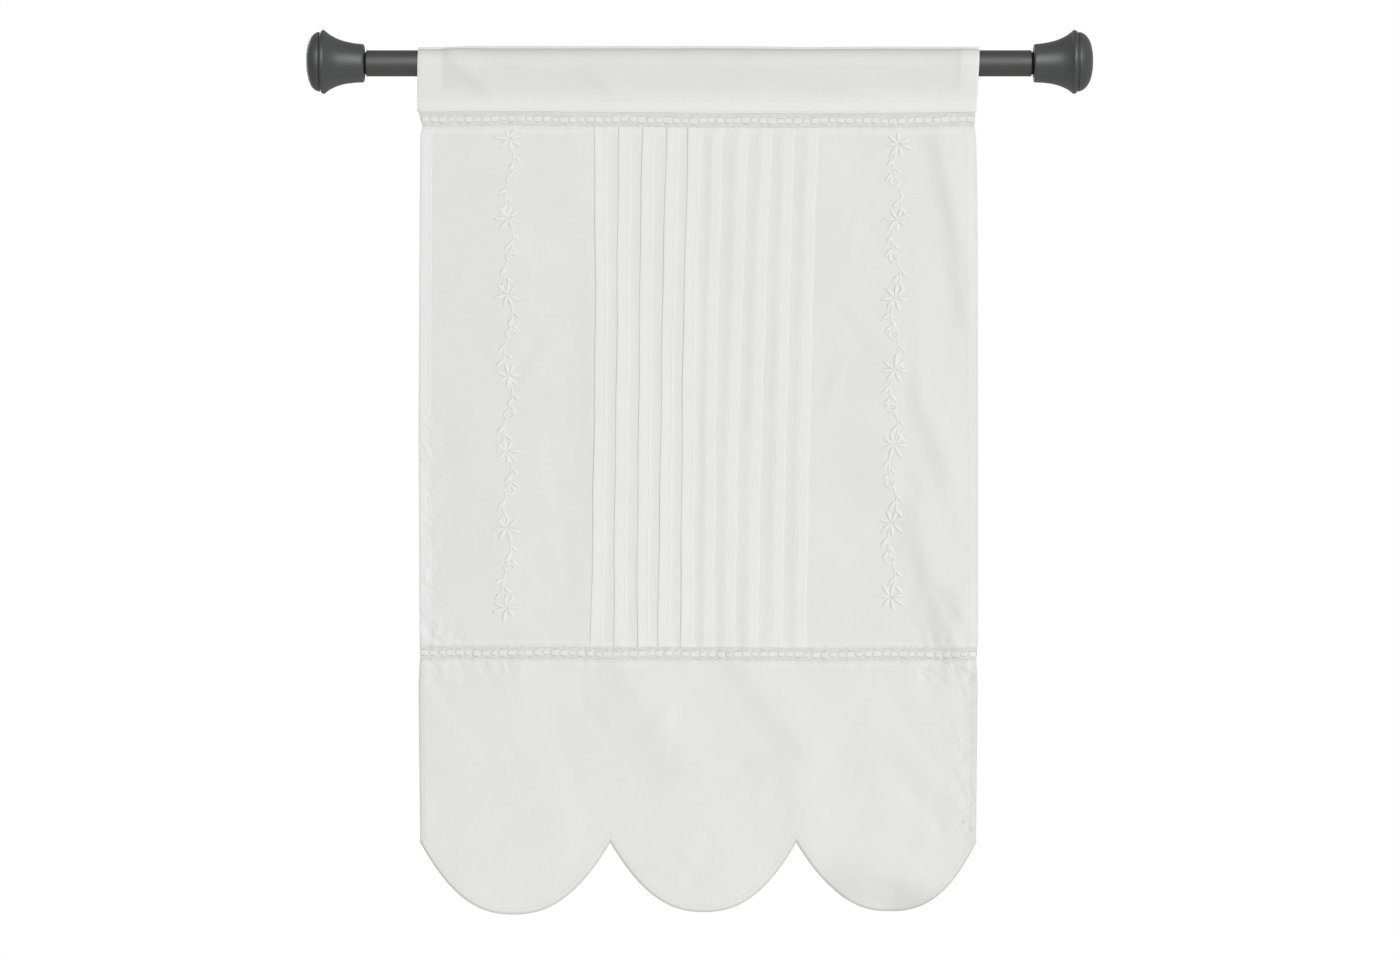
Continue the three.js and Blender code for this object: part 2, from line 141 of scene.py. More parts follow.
# Outline and folds of the hanging cloth
SIDE_EDGES = np.array([
    # height, left, right
    (-38.3, -225.6, 222.4),
    (-51.6, -221.9, 221.2),
    (-58, -223.6, 222.7),
    (-110, -224.2, 223.8),
    (-300, -225.2, 224.4),
    (-462, -224.3, 224.1),
    (-479, -224.1, 222.8),
    (-500, -225.2, 224),
    (-628, -223.8, 222.7),
])
SEAM_WANDER = np.array([
    # x, rise of the seams along the upper lace, rise of those along the lower lace
    (-225, 0.5, 0.6),
    (-150, 0.9, 0.8),
    (-60, 0.1, 0.1),
    (30, -0.7, -0.3),
    (110, -0.6, -0.7),
    (165, -0.4, -0.2),
    (222, 0.5, -0.3),
])
SEAM_BANDS = [
    # distances below the rod between which the wander grows, and between which it dies out
    (28, 38, 52, 100),
    (420, 467, 481, 530),
]
SOFT_FOLDS = np.array([
    # x0, z0, x1, z1, bow, width on its left, width on its right, rise to the front
    (190, -48, 215.3, -200, 3, 8.5, 16, 2.7),
    (170, -190, 166, -330, 0, 40, 24, 1.8),
    (179, -264, 211, -372, -1.5, 8, 18, 1.3),
    (187, -288, 203, -326, 0, 8.5, 14, 1.8),
    (179, -366, 196, -446, -2, 14, 30, 3.6),
    (213, -432, 214, -476, 0, 17, 12, 5),
    (-80, -235, -82, -378, 0, 14, 60, 1.6),
    (-160, -150, -150, -440, 0, 45, 45, 1),
    (-208, -280, -212, -430, 0, 12, 12, -0.8),
    (-58, -484, -16, -566, 0, 20, 24, 2.2),
    (32, -478, 88, -550, 0, 13, 20, 1.9),
    (78, -560, 88, -618, 0, 14, 22, 1.3),
    (-110, -600, -200, -560, 0, 28, 28, 0.8),
    (-60, -650, -150, -690, 0, 24, 24, -1.2),
    (102, -677, 182, -706, 0, 26, 26, -16),
    (158, -684, 214, -698, 0, 20, 22, -7),
])
FOLDS_GROW = (-40, -72)  # heights between which the soft folds come in
FINE_CREASES = np.array([
    # x0, z0, x1, z1, width, rise to the front
    (120, -318, 222, -326, 5, -0.4),
    (130, -196, 176, -232, 6, -0.35),
    (176, -222, 177, -284, 5, 0.5),
    (-216, -150, -120, -170, 7, -0.3),
    (-212, -330, -176, -352, 5, -0.35),
    (-120, -300, -104, -420, 6, -0.35),
    (196, -120, 214, -176, 4, -0.4),
    (186, -420, 214, -452, 4, -0.5),
    (-66, -486, -20, -540, 9, 0.6),
    (-210, -500, -170, -560, 7, -0.4),
    (-120, -520, -92, -610, 8, -0.45),
    (-200, -622, 200, -628, 6, -0.3),
    (150, -500, 176, -540, 6, -0.5),
    (176, -486, 188, -502, 6, -0.9),
    (170, -557, 220, -608, 8, 0.8),
    (168, -584, 193, -614, 6, -0.9),
    (172, -400, 191, -464, 6, -0.7),
    (130, -610, 196, -640, 8, -0.5),
    (-20, -570, 60, -640, 9, -0.4),
])
PUCKERS = np.array([
    # first x and z, last x and z, run of each pucker in x and z, how many
    (-224, -270, -224, -458, 10, -9, 15),
    (224, -502, 224, -612, -11, -9, 11),
    (-223, -482, -150, -482, 3, -12, 9),
    (180, -482, 222, -482, -3, -12, 6),
    (176, -466, 222, -466, -4, 12, 5),
    (-222, -466, -186, -466, 3, 11, 4),
])
# Place and length are shares of a pucker's step along the row and of its run
PUCKER_CREASE = {"place": (0.2, 0.8), "length": (0.6, 1.3), "width": (2.6, 4), "rise": (-1.2, -0.5)}
PUCKERED = np.array([
    # finely puckered cloth along hems and seams: x0, z0, x1, z1, bow, width on its left, on its right, share
    (-217, -285, -217, -455, 0, 9, 11, 1),
    (-222, -463, -185, -463, 0, 8, 8, 0.8),
    (180, -463, 222, -463, 0, 8, 8, 0.9),
    (-220, -486, -150, -486, 0, 11, 11, 0.9),
    (176, -486, 222, -486, 0, 11, 11, 0.9),
    (217, -505, 217, -612, 0, 15, 10, 1),
])
FINE_PUCKER = {"along": 11.5, "across": 7.8, "turn": 0.75, "height": 1.6}  # turn in radians from upright
RIPPLES = np.array([
    # wave length, direction in degrees, phase, height
    (64, 12, 0.4, 0.16),
    (47, 71, 2.1, 0.1),
    (39, 128, 4.4, 0.08),
    (29, 40, 1.3, 0.05),
    (23, 98, 5.2, 0.04),
    (17, 155, 3.0, 0.025),
])
GATHER = {"height": 0.16, "reach": 7}  # beside the sewn lines
GATHER_WAVES = [
    # share of the height, length of a radian, sway, length of a radian of the sway, phase
    (1, 2.3, 1.7, 19, 0),
    (0.7, 1.37, 2.2, 31, 1),
]
GATHERED_SEAMS = [
    # height, shift of the gathers along the seam
    (PANEL_TOP, 0),
    (PANEL_END, 40),
    (VALANCE_TOP, -25),
]
WRINKLES = np.array([
    # small wrinkles left over from pressing: how many, left, right, top, bottom
    (30, -215, 215, -490, -660),
    (14, 110, 215, -70, -450),
    (9, -215, -100, -150, -450),
])
WRINKLE = {"length": (12, 40), "width": (3, 7), "rise": 0.42, "seed": 7}

# Tucks: their folded edge's place at three heights, and which way it faces (1 left, -1 right)
TUCK_DEPTH = 8.6
TUCK_LAYER = 0.3
TUCK_FOOT = {"outer": 6, "middle": 4.2}  # how far past its stitches a tuck has sunk to the panel
TUCK_STRAY = [
    # how far a folded edge strays, length of a radian of the wave, its phase from tuck to tuck
    (0.25, 17, 1.9),
    (0.2, 41, 1),
]
TUCK_LIFT = {"share": 0.12, "length": 31, "phase": 2.3}  # how its height varies in the same way
TUCK_HEIGHTS = (-54, -253, -431)
TUCKS = np.array([
    # faces, at the top, in the middle, at the bottom
    (1, -83.8, -83.6, -86.4),
    (1, -64.1, -66.3, -68.1),
    (1, -45.3, -48.1, -49.3),
    (1, -26, -30, -32.3),
    (1, -8.6, -12.8, -14.4),
    (-1, 19, 14.4, 12.2),
    (-1, 39.9, 33, 29.2),
    (-1, 59, 51.6, 48),
    (-1, 76.9, 71.2, 67.5),
    (-1, 95.8, 89.8, 86.7),
])

# Valance
CUSP_HEIGHT = -625.6
LOBES = np.array([
    # from, to, depth, place of the lowest point as a share of the half width
    (-223.8, -71.2, 58.6, -0.022),
    (-71.2, 78.2, 56.5, 0.006),
    (78.2, 222.7, 57.5, 0.05),
])
LOBE_POWER = 2.33
STEEP = 1.7  # the most that the scalloped hem grows in height where its edge is steep

# Lace
LACE_PITCH = 7
NET_STEP = 1.25  # between threads that lean the same way
NET_THREAD = 0.23  # half the thickness of a net thread
LACE_TUCKED = 1.4  # how far the lace reaches behind the cloth's edges
LACE_DEPTH = 0.4  # how far it lies behind the cloth's front layer
NET_OVER = 0.14  # how far a net thread passes over and under those that it crosses
LACE_STRAY = [
    # how far the lace strays up and down, length of a radian of the wave, its phase to a millimetre of height
    (0.35, 14, 1),
    (0.2, 5.3, 0),
]
LACE_CORDS = [
    # share of the height, half thickness
    (0.06, 0.42), (0.16, 0.3), (0.21, 0.3), (0.26, 0.26),
    (0.74, 0.26), (0.79, 0.3), (0.84, 0.3), (0.94, 0.42),
]
CORD = {"forward": 0.15, "ridge": 0.2, "twist": 0.9, "points": 420}  # twist is the length of a radian
LACE_SPOT = {"half_width": 3.2, "half_height": 0.185, "rise": 0.28, "forward": 0.18, "blunt": 0.98}
SPOT_SIZES = {"uneven": 0.14, "beat": 2.4}  # how much they differ, and radians to a millimetre along

# Embroidery
VINES = np.array([
    # x and z of the first flower, x and z of the last, sway, share of the full padding at the first and last
    (-151.8, -62, -154.6, -437.6, 1, 0.25, 0.65),
    (160, -66, 154.2, -428.8, -1, 0.65, 0.85),
])
VINE_SEED = 40
FLOWERS = 7
PETALS = 7
FLOWER_STRAY = 1.5  # from the even spacing
PETAL = {"inner": 1, "length": 10.2, "half_width": 1.65, "rise": 0.85, "sizes": (0.85, 1.15), "stray": 0.1}
SEAM_MARGIN = 3  # between the highest petals and the panel's upper edge
LEAF = {"length": 10, "half_width": 1.8, "rise": 0.8, "sizes": (0.75, 1.1), "stray": 0.15, "plump": 0.8}
LEAVES = [
    # share of the way to the next flower, side of the stem, lean from the stem in degrees
    (0.2, 1, 42), (0.29, -1, 38), (0.38, 1, 50), (0.63, -1, 44), (0.73, 1, 40), (0.83, -1, 36),
]
STEM = {"half_width": 0.8, "rise": 0.5, "sway": 3.4, "twist": 2.4, "ridge": 0.22, "points": 900}
BUD = {"radius": 3.7, "squash": 0.92, "aside": 1.5, "half_width": 1.1, "rise": 0.7}
BUD_RIDGES = {"count": 16, "height": 0.15}
BUD_EYE = {"length": 1.8, "half_width": 0.8, "rise": 0.5, "plump": 0.4}
PADDED_SIDES = 8  # of a padded thread, leaf or petal

# Stitches
STITCH = {"pitch": 2.5, "length": 1.9, "half_width": 0.2, "rise": 0.2, "arch": 1.9, "sunk": 0.7}
STITCHED = {"tuck": 0.4, "hem": 1.1, "narrow_hem": 0.9, "edge": 1.3, "strip": 0.8}  # inside the folds
SEWN_ENDS = {"edge": 1, "scallop": 1.5, "tucks": 4}  # how far from these a sewn line stops
HEADING_SEWN = (-224.5, 222)  # ends of its sewn lines

# Finishes: colours, and metres between the threads of the plain weave
COTTON_THIN = (0.811, 0.814, 0.789)
COTTON_THICK = (0.841, 0.844, 0.82)
# painted light: cotton where it lies in several layers
COTTON_PAINTED_LIGHT = (0.888, 0.89, 0.87)
# painted shade: cotton along its outline
COTTON_PAINTED_SHADE = (0.62, 0.622, 0.6)
FLOOR_PAINT = (0.86, 0.86, 0.85)
THREAD_PITCH = 0.00042

# Stage: the floor in millimetres, lights and camera in metres
FLOOR = {"radius": 1100, "height": -1150, "rings": 14, "sides": 64}
SURROUNDINGS = {"lit": 0.45, "seen": 1.0}  # strength of the white round the object
LIT_PLACE = (0, 0, -0.32)  # which the softboxes face
SOFTBOXES = [
    # name, place, width and height, power, where it shows
    ("key", (5, -8.65, 0.2), (4.4, 4.4), 623, "diffuse"),
    ("strip", (0, -3.2, 2.1), (2.6, 0.5), 6, "both"),
    ("glint", (0, -3.4, 1.1), (5.5, 2.2), 190, "gloss"),
    ("back", (-1.6, 2.6, 0.3), (1.6, 1.6), 55, "both"),
]
CAMERA = {"place": (0.0009, -4.0, -0.3348), "lens": 128, "sensor": 36}


# Meshes

def grid_faces(rows, columns, wrap=False, copies=1):
    """Four-sided faces of a grid of points, row by row. Wrap joins the last column to the first."""
    row, column = np.meshgrid(np.arange(rows - 1), np.arange(columns - (not wrap)), indexing="ij")
    here = row * columns + column
    right = row * columns + (column + 1) % columns
    quads = np.stack([here, here + columns, right + columns, right], axis=-1).reshape(-1, 4)
    return (np.arange(copies)[:, None, None] * rows * columns + quads).reshape(-1, 4)


def put_mesh(name, points, faces, flat, **marks):
    """Object of points in millimetres, faces of four corners, and for each point its place on the flat cloth.

    Marks are values at the points that the material reads by name. Points near a sewn seam wander with it.
    """
    mesh = bpy.data.meshes.new(name)
    points = np.array(points, dtype=np.float32).reshape(-1, 3)
    points[:, 2] += seam_wander(points[:, 0], points[:, 2])
    points *= MM
    mesh.vertices.add(len(points))
    mesh.vertices.foreach_set("co", points.ravel())
    mesh.loops.add(faces.size)
    mesh.loops.foreach_set("vertex_index", faces.ravel().astype(np.int32))
    mesh.polygons.add(len(faces))
    mesh.polygons.foreach_set("loop_start", np.arange(0, faces.size, 4, dtype=np.int32))
    mesh.update(calc_edges=True)
    places = np.asarray(flat, dtype=np.float32).reshape(-1, 2) * MM
    mesh.uv_layers.new(name="flat").data.foreach_set("uv", places[faces.ravel()].ravel())
    for mark, values in marks.items():
        layer = mesh.attributes.new(mark, "FLOAT", "POINT")
        layer.data.foreach_set("value", np.asarray(values, dtype=np.float32).ravel())
    mesh.shade_smooth()
    obj = bpy.data.objects.new(name, mesh)
    bpy.context.scene.collection.objects.link(obj)
    return obj


def seam_wander(x, z):
    """How far a place is raised because the sewn seams near it don't run level."""
    rise = np.zeros(np.shape(x))
    for band, (start, whole, still_whole, end) in enumerate(SEAM_BANDS, start=1):
        near = smooth(-z, start, whole) * (1 - smooth(-z, still_whole, end))
        rise += near * np.interp(x, SEAM_WANDER[:, 0], SEAM_WANDER[:, band])
    return rise


def merge_poles(obj):
    """Joins the points that lie in one place, as at the poles of a turned piece."""
    work = bmesh.new()
    work.from_mesh(obj.data)
    bmesh.ops.remove_doubles(work, verts=work.verts, dist=1e-7)
    work.to_mesh(obj.data)
    work.free()


def dress(obj, material, replaced=()):
    """Gives a piece its material and fixes it to the object."""
    obj.data.materials.append(material)
    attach(obj, "root")
    if replaced:
        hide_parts(*replaced)
    return obj


def thicken(obj):
    """Gives a sheet of cloth its thickness, half to each side."""
    shell = obj.modifiers.new("cloth thickness", "SOLIDIFY")
    shell.thickness = CLOTH * MM
    shell.offset = 0
    return obj


END_QUADS = {
    # sides of a thread: faces of four corners that close its end
    4: [(0, 1, 2, 3)],
    6: [(0, 1, 2, 3), (0, 3, 4, 5)],
    8: [(0, 1, 2, 3), (0, 3, 4, 7), (4, 5, 6, 7)],
}


def tubes(path, half_width, half_height, sides, relief=1.0):
    """Points, faces and flat places of closed threads lying on cloth that faces -Y.

    path has the shape (threads, steps, 3). A point is path + cos(turn) * half_width * side + sin(turn) *
    half_height * front, with side square to the path and to the front. Relief scales it by step and by turn.
    On the flat, a thread runs along its length, and once round it is a metre.
    """
    threads, steps, _ = path.shape
    front = np.array([0.0, -1.0, 0.0])
    along = np.gradient(path, axis=1)
    side = np.cross(along, front)
    side /= np.linalg.norm(side, axis=-1, keepdims=True)
    turn = 2 * np.pi * np.arange(sides) / sides
    wide = np.broadcast_to(half_width, path.shape[:2])[..., None] * np.cos(turn) * relief
    high = np.broadcast_to(half_height, path.shape[:2])[..., None] * np.sin(turn) * relief
    points = path[:, :, None, :] + wide[..., None] * side[:, :, None, :] + high[..., None] * front
    faces = grid_faces(steps, sides, wrap=True, copies=threads)
    ends = np.array(END_QUADS[sides])
    starts = np.arange(threads)[:, None, None] * steps * sides
    first = (starts + ends).reshape(-1, 4)
    last = (starts + (steps - 1) * sides + ends[:, ::-1]).reshape(-1, 4)
    lengths = np.cumsum(np.linalg.norm(along, axis=-1), axis=1)
    flat = np.stack(np.broadcast_arrays(lengths[..., None], turn / (2 * np.pi) * 1000), axis=-1)
    return points.reshape(-1, 3), np.concatenate([faces, first, last]), flat.reshape(-1, 2)


def joined(parts):
    """Several (points, faces, flat) sets as one."""
    counts = np.cumsum([0] + [len(points) for points, _, _ in parts[:-1]])
    faces = np.concatenate([faces + count for (_, faces, _), count in zip(parts, counts)])
    return np.concatenate([part[0] for part in parts]), faces, np.concatenate([part[2] for part in parts])


# Shape of the hanging cloth

def smooth(value, start, end):
    """0 at start, 1 at end, and an S-curve between them."""
    share = np.clip((value - start) / (end - start), 0, 1)
    return share * share * (3 - 2 * share)


def fold_sum(x, z, folds):
    """Sum of soft folds along bowed lines: rise * exp(-(across / width)^2), with a width for each side.

    A line runs down from (x0, z0) to (x1, z1) and bows to the right by 4 * bow * share * (1 - share). Past
    its ends a fold dies out over the mean of its two widths.
    """
    total = np.zeros(np.broadcast(x, z).shape)
    for x0, z0, x1, z1, bow, left, right, rise in folds:
        dx, dz = x1 - x0, z1 - z0
        length = np.hypot(dx, dz)
        along = ((x - x0) * dx + (z - z0) * dz) / length
        share = np.clip(along / length, 0, 1)
        across = ((z - z0) * dx - (x - x0) * dz) / length - 4 * bow * share * (1 - share)
        width = np.where(across < 0, left, right)
        past = along - share * length
        total += rise * np.exp(-((across / width) ** 2) - (2 * past / (left + right)) ** 2)
    return total


def straight_folds(table):
    """Rows of (x0, z0, x1, z1, width, rise) as rows of soft folds with no bow and one width."""
    x0, z0, x1, z1, width, rise = np.asarray(table).T
    return np.stack([x0, z0, x1, z1, np.zeros(len(x0)), width, width, rise], axis=1)


def ripple_sum(x, z):
    """Soft unevenness of washed cotton: a sum of plane waves."""
    total = np.zeros(np.broadcast(x, z).shape)
    for length, degrees, phase, height in RIPPLES:
        turn = np.radians(degrees)
        total += height * np.sin(2 * np.pi * (x * np.cos(turn) + z * np.sin(turn)) / length + phase)
    return total


def small_wrinkles():
    """Rows of (x0, z0, x1, z1, width, rise): wrinkles strewn over areas, puckers along edges and seams."""
    draws = np.random.default_rng(WRINKLE["seed"])
    rows = []
    for count, left, right, top, bottom in WRINKLES:
        count = int(count)
        x, z = draws.uniform(left, right, count), draws.uniform(bottom, top, count)
        turn, length = draws.uniform(0, np.pi, count), draws.uniform(*WRINKLE["length"], count)
        width = draws.uniform(*WRINKLE["width"], count)
        rise = draws.normal(0, WRINKLE["rise"], count)
        run_x, run_z = length * np.cos(turn), -length * np.sin(turn)
        rows.append(np.stack([x, z, x + run_x, z + run_z, width, rise], axis=1))
    for first_x, first_z, last_x, last_z, run_x, run_z, count in PUCKERS:
        count = int(count)
        share = (np.arange(count) + draws.uniform(*PUCKER_CREASE["place"], count)) / count
        x, z = first_x + (last_x - first_x) * share, first_z + (last_z - first_z) * share
        length = draws.uniform(*PUCKER_CREASE["length"], count)
        width = draws.uniform(*PUCKER_CREASE["width"], count)
        rise = draws.uniform(*PUCKER_CREASE["rise"], count)
        rows.append(np.stack([x, z, x + length * run_x, z + length * run_z, width, rise], axis=1))
    return np.concatenate(rows)


CLOTH_FOLDS = np.concatenate([SOFT_FOLDS, straight_folds(FINE_CREASES), straight_folds(small_wrinkles())])


def gathers(x, away):
    """Small gathers beside a sewn line: uneven waves along it that die out with the distance from it."""
    waves = 0
    for height, length, sway, sway_length, phase in GATHER_WAVES:
        waves = waves + height * np.sin(x / length + sway * np.sin(x / sway_length) + phase)
    return GATHER["height"] * waves * np.exp(-np.abs(away) / GATHER["reach"])


def hang(x, z):
    """Depth (y) of the hanging cloth: soft folds, fine creases, ripples and the gathers at the lace seams."""
    grown = smooth(z, *FOLDS_GROW)
    seams = sum(gathers(x + shift, z - height) for height, shift in GATHERED_SEAMS)
    return -grown * (fold_sum(x, z, CLOTH_FOLDS) + ripple_sum(x, z)) - seams


def side_edges(z):
    """Left and right edge of the cloth at a height: straight between the table's rows."""
    height, left, right = SIDE_EDGES.T
    return np.interp(-z, -height, left), np.interp(-z, -height, right)


def turn_over(count):
    """Angles of a half turn, from -90 to 90 degrees."""
    return np.linspace(-np.pi / 2, np.pi / 2, count)


def hem_run(width):
    """Path across a double-turned hem from its raw edge: distance from the cloth's edge, and height over it.

    The raw edge lies between the front layer and the back layer, so the hem has three layers.
    """
    inner = width - LAYER
    fold, edge = turn_over(4), turn_over(5)
    along = np.concatenate([
        (1.2, width / 2), inner + LAYER / 2 * np.cos(fold), (width * 0.6, width * 0.2),
        LAYER - LAYER * np.cos(edge), (width * 0.3, width * 0.7, width, width + 0.7),
    ])
    high = np.concatenate([
        (-LAYER, -LAYER), -1.5 * LAYER - LAYER / 2 * np.sin(fold), (-2 * LAYER, -2 * LAYER),
        -LAYER + LAYER * np.sin(edge), (0, 0, 0, 0),
    ])
    # layers, which the cotton paints whiter as painted light
    folds = np.where(along < width + 0.2, 1.0, 0.0)
    return along, high, folds


def tuck_run(foot):
    """Path across one pressed tuck: distance from its folded edge to its stitches, and height over the panel.

    The cloth passes under the fold to the stitches, turns back to the folded edge, turns again and comes back
    on top, to sink to the panel past the stitches. At the stitches the layers are pressed to the back.
    """
    layer, depth = TUCK_LAYER, TUCK_DEPTH
    inner, edge = turn_over(4), turn_over(5)
    along = np.concatenate([
        (-0.8, 2.5, depth * 0.6), depth - 0.5 + layer / 2 * np.cos(inner), (depth * 0.5,),
        layer / 2 - layer / 2 * np.cos(edge), (1.2, 3.5, 6, depth),
        depth + foot * np.array([0.15, 0.4, 0.7, 1]),
    ])
    high = layer * np.concatenate([
        (0, -0.15, -0.4), -0.1 + 0.5 * np.sin(inner), (0.7,),
        1.5 + 0.5 * np.sin(edge), (2.03, 1.95, 1.75, 1.42), (1.2, 0.8, 0.35, 0),
    ])
    # layers, which the cotton paints whiter as painted light
    folds = np.concatenate([np.zeros(3), np.ones(4 + 1 + 5 + 4), (0.6, 0.1, 0, 0)])
    return along, high, folds


def folded_edge(index, z):
    """Place of a tuck's folded edge at heights z, and the share of its full height that it has there.

    The edge is the parabola through the tuck's three places, and strays from it a little in two waves.
    """
    top, middle, bottom = TUCK_HEIGHTS
    _, at_top, at_middle, at_bottom = TUCKS[index]
    curve = (
        at_top * (z - middle) * (z - bottom) / ((top - middle) * (top - bottom))
        + at_middle * (z - top) * (z - bottom) / ((middle - top) * (middle - bottom))
        + at_bottom * (z - top) * (z - middle) / ((bottom - top) * (bottom - middle))
    )
    stray = sum(size * np.sin(z / length + phase * index) for size, length, phase in TUCK_STRAY)
    lift = np.sin(z / TUCK_LIFT["length"] + TUCK_LIFT["phase"] * index)
    return curve + stray, 1 + TUCK_LIFT["share"] * lift


def plain_run(start, end, count):
    """Evenly spaced places between two edges that vary by row, without those edges."""
    share = np.arange(1, count + 1) / (count + 1)
    return start[:, None] + (end - start)[:, None] * share


def bunched(count):
    """Shares from 0 to 1, less a sine wave that draws them closer together towards both ends."""
    share = np.linspace(0, 1, count)
    return share - BUNCHING * np.sin(2 * np.pi * share)


EDGE_ARC = np.linspace(np.pi, 0, 6)[1:-1]  # turns of the rows that go over an edge, from behind to the front


def turned_rows(count, back_above, back_below):
    """Rows down a cloth whose upper and lower edge are turned behind it.

    Each row has its share of the drop, its turn (0 in front, pi behind) and its distance from the edge that
    it was turned over.
    """
    above, below = np.linspace(back_above, 0, 4), np.linspace(0, back_below, 4)
    drop = np.concatenate([np.zeros(8), bunched(count), np.ones(8)])
    turn = np.concatenate([np.full(4, np.pi), EDGE_ARC, np.zeros(count), EDGE_ARC[::-1], np.full(4, np.pi)])
    back = np.concatenate([above, np.zeros(4 + count + 4), below])
    return drop, turn, back


def lay_cloth(x, z, high, turn, behind, from_edge, curl):
    """Points of a cloth: its height over the hanging surface is turned about an axis behind all its layers.

    Close to its outline the whole cloth rolls to the back, by the square of the distance into that strip.
    """
    axis = EDGE_TURN + behind
    rolled = curl * np.clip(1 - from_edge / CURL["reach"], 0, 1) ** 2
    y = hang(x, z) + axis - (high + axis) * np.cos(turn) + rolled
    return np.stack(np.broadcast_arrays(x, y, z), axis=-1)


def flat_places(x, high, drop):
    """Places on the flat cloth: lengths run along the middle row, and heights."""
    middle = len(x) // 2
    steps = np.hypot(np.diff(x[middle]), np.diff(high[middle]))
    across = np.concatenate([[0], np.cumsum(steps)])
    return np.stack(np.broadcast_arrays(across, drop), axis=-1)


def hem_depth(from_side, width):
    """Depth of a side hem's layers behind the front layer, at a distance from the side."""
    return 2 * LAYER * (1 - smooth(from_side, width + 0.5, width + 3))


def painted_side_rims(from_left, from_right):
    """Painted shade: how much darker the cloth is painted close to its left and to its right side."""
    left = PAINTED_EDGE_SHADE["left"] * (1 - smooth(from_left, 0, PAINTED_EDGE_SHADE["width"]))
    return left + PAINTED_EDGE_SHADE["right"] * (1 - smooth(from_right, 0, PAINTED_EDGE_SHADE["width"]))


# Pieces

def main_panel():
    """The panel: across it a hem, plain cloth, ten tucks, plain cloth and a hem; down it two turned edges."""
    drop, turn, back = turned_rows(PANEL_ROWS, TOP_ALLOWANCE, LOW_ALLOWANCE)
    edge = PANEL_TOP + (PANEL_END - PANEL_TOP) * drop
    inward = np.where(drop < 0.5, -1, 1)
    z = edge + inward * (back - EDGE_TURN * np.sin(turn))
    left, right = side_edges(edge)
    along, high, folds = hem_run(SIDE_HEM)
    places, heights, layers = [left[:, None] + along], [high], [folds]
    for index, faces in enumerate(TUCKS[:, 0]):
        beside_middle = index in (len(TUCKS) // 2 - 1, len(TUCKS) // 2)
        over, over_high, over_folds = tuck_run(TUCK_FOOT["middle" if beside_middle else "outer"])
        fold_x, lifted = folded_edge(index, edge)
        line = fold_x[:, None] + faces * over
        way = slice(None) if faces > 0 else slice(None, None, -1)
        start = line[:, way][:, 0]
        count = PLAIN_COLUMNS if index == 0 else 2
        places += [plain_run(places[-1][:, -1], start, count), line[:, way]]
        heights += [np.zeros(count), (over_high * lifted[:, None])[:, way]]
        layers += [np.zeros(count), over_folds[way]]
    far = right[:, None] - along[::-1]
    places += [plain_run(places[-1][:, -1], far[:, 0], PLAIN_COLUMNS), far]
    heights += [np.zeros(PLAIN_COLUMNS), high[::-1]]
    layers += [np.zeros(PLAIN_COLUMNS), folds[::-1]]
    x = np.concatenate(places, axis=1)
    rows = len(drop)
    high = np.concatenate([np.broadcast_to(part, (rows, part.shape[-1])) for part in heights], axis=1)
    from_left, from_right = x - left[:, None], right[:, None] - x
    from_side = np.minimum(from_left, from_right)
    behind = hem_depth(from_side, SIDE_HEM)
    points = lay_cloth(x, z[:, None], high, turn[:, None], behind, from_side, CURL["panel"])
    # painted light: the allowances turned behind the panel's upper and lower edge are painted whiter
    strip = np.maximum(
        1 - smooth(PANEL_TOP - z, TOP_ALLOWANCE - FADE["before"], TOP_ALLOWANCE + FADE["after"]),
        1 - smooth(z - PANEL_END, LOW_ALLOWANCE - FADE["before"], LOW_ALLOWANCE + FADE["after"]),
    )
    # painted light: the side hems are painted whiter, by amounts that change from top to bottom
    pressed = np.ones(x.shape)
    for inside, (above, below) in ((from_left, PAINTED_HEM_LIGHT["left"]), (from_right, PAINTED_HEM_LIGHT["right"])):
        pressed = np.where(inside < SIDE_HEM + 1, (above + (below - above) * drop)[:, None], pressed)
    folds = np.maximum(np.concatenate(layers) * pressed, PAINTED_LAYER_LIGHT["allowance"] * strip[:, None])
    puckered = np.maximum(fold_sum(x, z[:, None], PUCKERED), HEM_PUCKER * folds)
    flat = flat_places(x, high, z[:, None])
    marks = {"folds": folds, "puckered": puckered, "painted_rim_shade": painted_side_rims(from_left, from_right)}
    return thicken(put_mesh("panel", points, grid_faces(*x.shape), flat, **marks))


def scallop(place):
    """Height of the scalloped edge under places along the cusps' line, and its slope.

    A scallop hangs below its cusps by depth * (1 - |share of the half width from its lowest point| ** power).
    """
    index = np.clip(np.searchsorted(LOBES[:, 1], place), 0, len(LOBES) - 1)
    start, end, depth, low = LOBES[index].T
    half = (end - start) / 2
    share = np.clip((place - (start + end) / 2) / half, -1, 1)
    from_low = share - low * (1 - share**2)
    height = CUSP_HEIGHT + EDGE_TURN + CLOTH / 2 - depth * (1 - np.abs(from_low) ** LOBE_POWER)
    slope = depth * LOBE_POWER * np.abs(from_low) ** (LOBE_POWER - 1) * np.sign(from_low) / half
    cusp = np.isclose(np.abs(share), 1) & (place > LOBES[0, 0] + 1) & (place < LOBES[-1, 1] - 1)
    return height, np.where(cusp, 0, slope)


def lobe_places(count):
    """Places along the cusps' line, closer together towards each cusp."""
    swing = -np.cos(np.pi * np.arange(count) / count)
    start, end = LOBES[:, 0, None], LOBES[:, 1, None]
    return np.append(((start + end) / 2 + (end - start) / 2 * swing).ravel(), LOBES[-1, 1])


def scallop_hem(slope):
    """Height of the scalloped hem: an even width square to the edge, held back where the edge is steep."""
    return np.minimum(NARROW_HEM * np.sqrt(1 + slope**2), NARROW_HEM * STEEP)


def valance_x(place, z):
    """Where a place along the cusps' line lies at a height: the same share of the way across the cloth."""
    left, right = side_edges(z)
    start, end = LOBES[0, 0], LOBES[-1, 1]
    return left + (right - left) * (place - start) / (end - start)


